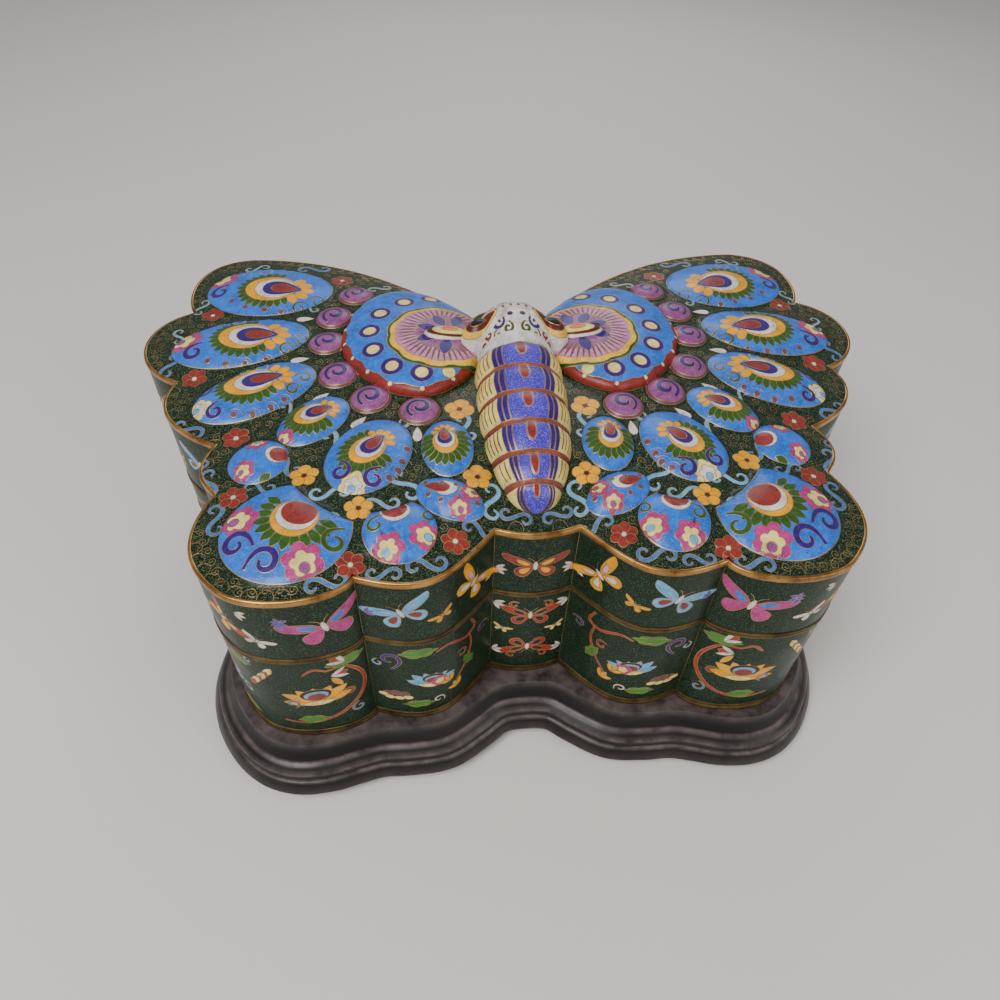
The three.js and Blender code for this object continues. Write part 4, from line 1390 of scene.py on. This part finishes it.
# Butterflies and petals round the lid's side: distance from the tail round the outline, height,
# span or size, angle and colours.
UPPER_WALL = [
    (butterfly, 0, 94, 11.6, 0, "red red yellow yellow", "white", (1,)),
    (half_flower, 14, 91, 4.4, 180), (half_flower, 15, 89, 4.4, 20),
    (butterfly, 25.5, 94.5, 12.4, 48, "yellow yellow blush white"),
    (butterfly, 40, 89.5, 5, -24, "yellow yellow - -", "yellow"),
    (butterfly, 54, 95, 12.6, -24, "sky sky sky red"),
    (half_flower, 66, 93, 3.4, 150, "violet"),
    (butterfly, 80.5, 94.6, 14, -14, "rose rose azure -"),
    (half_flower, 95.5, 100, 4.4, 200, "violet"), (half_flower, 93.5, 100, 3.2, 20, "violet"),
    (butterfly, 103, 89, 6, 30, "white white - -"),
    (half_flower, 107.5, 103, 4, 200),
    (butterfly, 114, 96, 9.6, 60, "brick yellow cream -"),
    (butterfly, 133, 93, 11, 12, "yellow yellow red -"),
    (butterfly, 148, 98, 5, -20, "white white - -"),
    (butterfly, 170.5, 94, 11, -8, "rose rose azure cream"),
    (butterfly, 196, 95, 11, 14, "sky sky sky red"),
    (butterfly, 211, 89, 5, -24, "yellow yellow - -"),
    (butterfly, 222, 97, 5.4, 20, "white white - -"),
    (butterfly, 247, 94, 12, -14, "red red yellow cream"),
    (butterfly, 265, 99, 5, 24, "violet violet - -"),
    (butterfly, 281, 93, 10.4, 16, "yellow yellow blush -"),
    (butterfly, 313, 94, 12, -8, "sky sky azure red"),
    (butterfly, 333, 99, 5.4, 18, "white white - -"),
    (butterfly, 352, 93, 12, 12, "rose rose azure cream"),
    (butterfly, 378, 96, 5.4, -20, "yellow yellow - -"),
    (butterfly, 398, 93, 12, -10, "yellow yellow red cream"),
    (butterfly, 420, 98, 5.4, 22, "white white - -"),
    (butterfly, 442, 93, 12, 8, "sky sky sky red"),
    (butterfly, RUN[-1], 94, 10, 0, "red red yellow yellow", "white", (-1,)),
]

# Two red butterflies under the tail, then the figures of the front lobe and of the corner lobe.
LOWER_WALL = [
    (butterfly, 0, 64.5, 11.4, 0, "brick brick coal coal", "white", (1,)),
    (scroll, 6.2, 70.9, 90, 2, "brick", 1, 1, 0.8, 1),
    (butterfly, 0, 43.5, 11.4, 180, "brick brick coal coal", "white", (-1,)),
    (scroll, 6.2, 37.1, 90, 2, "brick", 1, 1, 0.8, 1),
    (half_flower, 14, 71, 4.6, 200), (half_flower, 14, 39, 4.6, 160),
    (butterfly, 10.4, 55, 4, 20, "cream cream - -", "cream"),

    (vine, [(27, 74), (25, 68), (30, 66), (38, 70), (43, 69)]),
    (vine, [(28, 67), (27, 58), (31, 48), (37, 40)], 1), (scroll, 32, 58, 100, 2.4, "brick", -1, 1, 1, 1),
    (frond, 57, 70, 176, 15, 4.6), (frond, 26, 46, 60, 10, 4), (frond, 57, 35, 178, 13, 4),
    (scroll, 60, 66, 200, 4, "purple", 1, 1.1, 1.4, 1.6), (scroll, 64.4, 63, 30, 2, "sky", 1, 1, 1, 0.9),
    (peony, 45, 51, 8, "sky", 20),
    (flower_heart, 42.4, 49.4, 3, "rose"), (flower_heart, 42.2, 49, 1.8, "cream"),
    (half_flower, 37.5, 45, 5.4, 60, "yellow"), (half_flower, 34, 38, 5.4, 60, "yellow"),
    (scroll, 43, 36, 160, 2.2, "white", 1, 1.1, 1.2, 0.8),
    (scroll, 20.5, 62, 90, 2.4, "purple", 1, 1, 1.2, 1.2),
    (pebbles, 2.1, 1.8, "plum", [(56, 42.6), (59, 43), (62, 42)]),
    (pebbles, 2, 1.3, "cream", [(54.6, 40.2), (58, 39.4), (61.6, 39.4), (64, 41)]),

    (vine, [(84, 69), (77, 69), (71.5, 60), (72, 50), (80, 40), (92, 35), (103, 36)], 1.5),
    (vine, [(84, 69), (88, 71), (92, 68)], 1.2), (scroll, 77.4, 52, 60, 2.4, "brick", -1, 1.1, 0.8, 1),
    (frond, 84, 71.6, 176, 15, 4.8), (frond, 98, 37, 178, 12, 5),
    (bud, 77, 71.6, 6.2, 40), (bud, 82.5, 65, 6.2, 170),
    (peony, 89, 53, 10.4, "yellow", -6), (loose_petal, 79, 58, 60, 7, 2.6, "yellow"),
    (scroll, 98, 49, 200, 2.4, "scroll", 1, 1.1, 1, 1.1), (scroll, 75, 39, 30, 2.6, "scroll", 1, 1.1, 1.2, 1),
    (two_leaves, 105, 67), (two_leaves, 108, 63), (two_leaves, 111, 59),
    (scroll, 110, 74, 60, 1.6, "sky", 1, 1, 1, 0.9),
]

# Where each length of the flower scroll stands on the sides and the back, its flower's colour and
# the way it runs.
SPRAYS = [
    (135, "sky", 1), (170.5, "yellow", -1), (208, "rose", 1), (247, "sky", -1), (276, "yellow", 1),
    (316, "rose", -1), (356, "yellow", 1), (398, "sky", -1), (441, "rose", 1),
]


def spray(design, s, tone, hand):
    """One length of the flower scroll round the body's side, about 46 mm long."""
    def to(u, z):
        return s + hand * u, z

    def way(angle):
        return angle if hand > 0 else 180 - angle

    lay(design, [
        (vine, [to(*at) for at in ((-20, 64), (-10, 70), (2, 66), (10, 56), (8, 44), (-2, 36), (-12, 34))]),
        (vine, [to(*at) for at in ((9, 52), (14, 56), (17, 52), (15, 48))], 1),
        (frond, *to(-14, 70), way(172), 12, 4), (frond, *to(-10, 35), way(190), 11, 4.4),
        (frond, *to(12, 58), way(40), 10, 3.6),
        (bud, *to(4, 67), 6.4, way(60)), (bud, *to(15, 70), 5.6, way(20)),
        (peony, *to(-6, 52), 8.6, tone, -8 * hand),
        (scroll, *to(19, 40), way(120), 2.8, "scroll", -hand, 1.1, 1.2, 1.2),
        (scroll, *to(-19, 50), way(60), 2.6, "sky", hand, 1.1, 1.0, 1.2),
    ])


LOWER_WALL += [(spray, *values) for values in SPRAYS]
LOWER_WALL.append((butterfly, RUN[-1], 62, 10, 0, "brick brick coal coal", "white", (-1,)))


def make_wall(name, base, top, figures):
    """A side wall with a seam wire in every crease and figures on a plain dark ground."""
    outline = np.vstack([np.column_stack([RUN, np.full(len(RUN), base)]),
                         np.column_stack([RUN[::-1], np.full(len(RUN), top)])])
    design = Design(outline, on_wall, 2.4, "wall")
    for start, end in zip(CREASES, CREASES[1:] + [RUN[-1]]):
        here = RUN[(RUN >= start - 1e-6) & (RUN <= end + 1e-6)]
        design.cell([(s, base) for s in here] + [(s, top) for s in here[::-1]], "wall")
    lay(design, figures)
    return design.build(name, lambda at: np.column_stack([
        0.5 + at[:, 0] / RUN[-1] * 0.49, (at[:, 1] - base) / (top - base) * 0.9 + 0.05]), shade=0.5)


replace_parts(make_wall("body_wall", BODY_BASE, BODY_TOP, LOWER_WALL), "box_body")
make_wall("lid_wall", LID_BASE, RIM_Z - 2.4, UPPER_WALL)


# ---- Linings ---------------------------------------------------------------------------------

def inward(loop, share):
    """A loop drawn in towards the middle."""
    return CENTRE + (loop - CENTRE) * share


def make_linings():
    """Plain enamel inside the box and under it."""
    wall = outset(OUTLINE, -WALL)
    floor = BODY_BASE + WALL
    middle = outset(OUTLINE, -FLOOR_CORNER)
    body = [at_height(OUTLINE, BODY_TOP), at_height(wall, BODY_TOP), at_height(wall, floor + 1.2),
            at_height(outset(OUTLINE, -2.3), floor + 0.3)]
    body += [at_height(inward(middle, share), floor) for share in (1, 0.7, 0.35)]
    lofted("body_lining", body, LINING, caps=[(len(body) - 1, (*CENTRE, floor))])
    under = [at_height(inward(OUTLINE, share), BODY_BASE) for share in (0.35, 0.7, 1)]
    lofted("body_underside", under, LINING, caps=[(0, (*CENTRE, BODY_BASE))])
    lid = [at_height(OUTLINE, LID_BASE), at_height(wall, LID_BASE), at_height(wall, RIM_Z - 5)]
    for share in (1, 0.8, 0.5, 0.2):
        loop = inward(outset(OUTLINE, -LID_CORNER), share)
        lid.append(np.column_stack([loop, crown(loop) - WALL]))
    top = (*CENTRE, crown(CENTRE[None])[0] - WALL)
    lofted("lid_lining", lid, LINING, caps=[(len(lid) - 1, top)])


make_linings()


# ---- Floor, light and camera -----------------------------------------------------------------

def make_floor():
    """A pale plain floor."""
    mesh = bpy.data.meshes.new("floor")
    mesh.from_pydata([(-3, -3, 0), (3, -3, 0), (3, 3, 0), (-3, 3, 0)], [], [(0, 1, 2, 3)])
    material = Nodes("floor_pale")
    material.set(Base_Color=linear(226, 222, 216), Roughness=0.85)
    mesh.materials.append(material.material)
    floor = bpy.data.objects.new("floor", mesh)
    bpy.context.scene.collection.objects.link(floor)


def area_light(name, place, size, power, colour=(1, 1, 1)):
    """A round soft light that looks at the box."""
    lamp = bpy.data.lights.new(name, "AREA")
    lamp.shape = "DISK"
    lamp.size = size
    lamp.energy = power
    lamp.color = colour
    light = bpy.data.objects.new(name, lamp)
    light.location = place
    light.rotation_euler = (Vector((0, 0, 0.08)) - Vector(place)).to_track_quat("-Z", "Y").to_euler()
    bpy.context.scene.collection.objects.link(light)


make_floor()
area_light("key_light", (-0.45, -0.5, 0.95), 0.6, 10)
area_light("fill_light", (0.8, -0.7, 0.6), 0.8, 4, (1, 0.97, 0.93))
area_light("back_light", (0.15, 0.95, 0.75), 0.6, 2.6, (0.95, 0.97, 1))
world = bpy.data.worlds.new("studio")
world.use_nodes = True
world.node_tree.nodes["Background"].inputs["Color"].default_value = (0.9, 0.92, 0.95, 1)
world.node_tree.nodes["Background"].inputs["Strength"].default_value = 0.34
bpy.context.scene.world = world

YAW, PITCH, ROLL = 0.11712, 0.81943, -0.04786
forward = Vector((math.sin(YAW) * math.cos(PITCH), math.cos(YAW) * math.cos(PITCH), -math.sin(PITCH)))
level = Vector((math.cos(YAW), -math.sin(YAW), 0))
down = forward.cross(level)
right = level * math.cos(ROLL) + down * math.sin(ROLL)
down = down * math.cos(ROLL) - level * math.sin(ROLL)
camera = bpy.data.objects.new("camera", bpy.data.cameras.new("camera"))
camera.data.lens = 27.04
camera.data.sensor_width = 36
camera.data.clip_start = 0.01
turn = Matrix((right, -down, -forward)).transposed()
camera.matrix_world = Matrix.Translation((-0.03184, -0.2267, 0.29723)) @ turn.to_4x4()
bpy.context.scene.collection.objects.link(camera)
bpy.context.scene.camera = camera
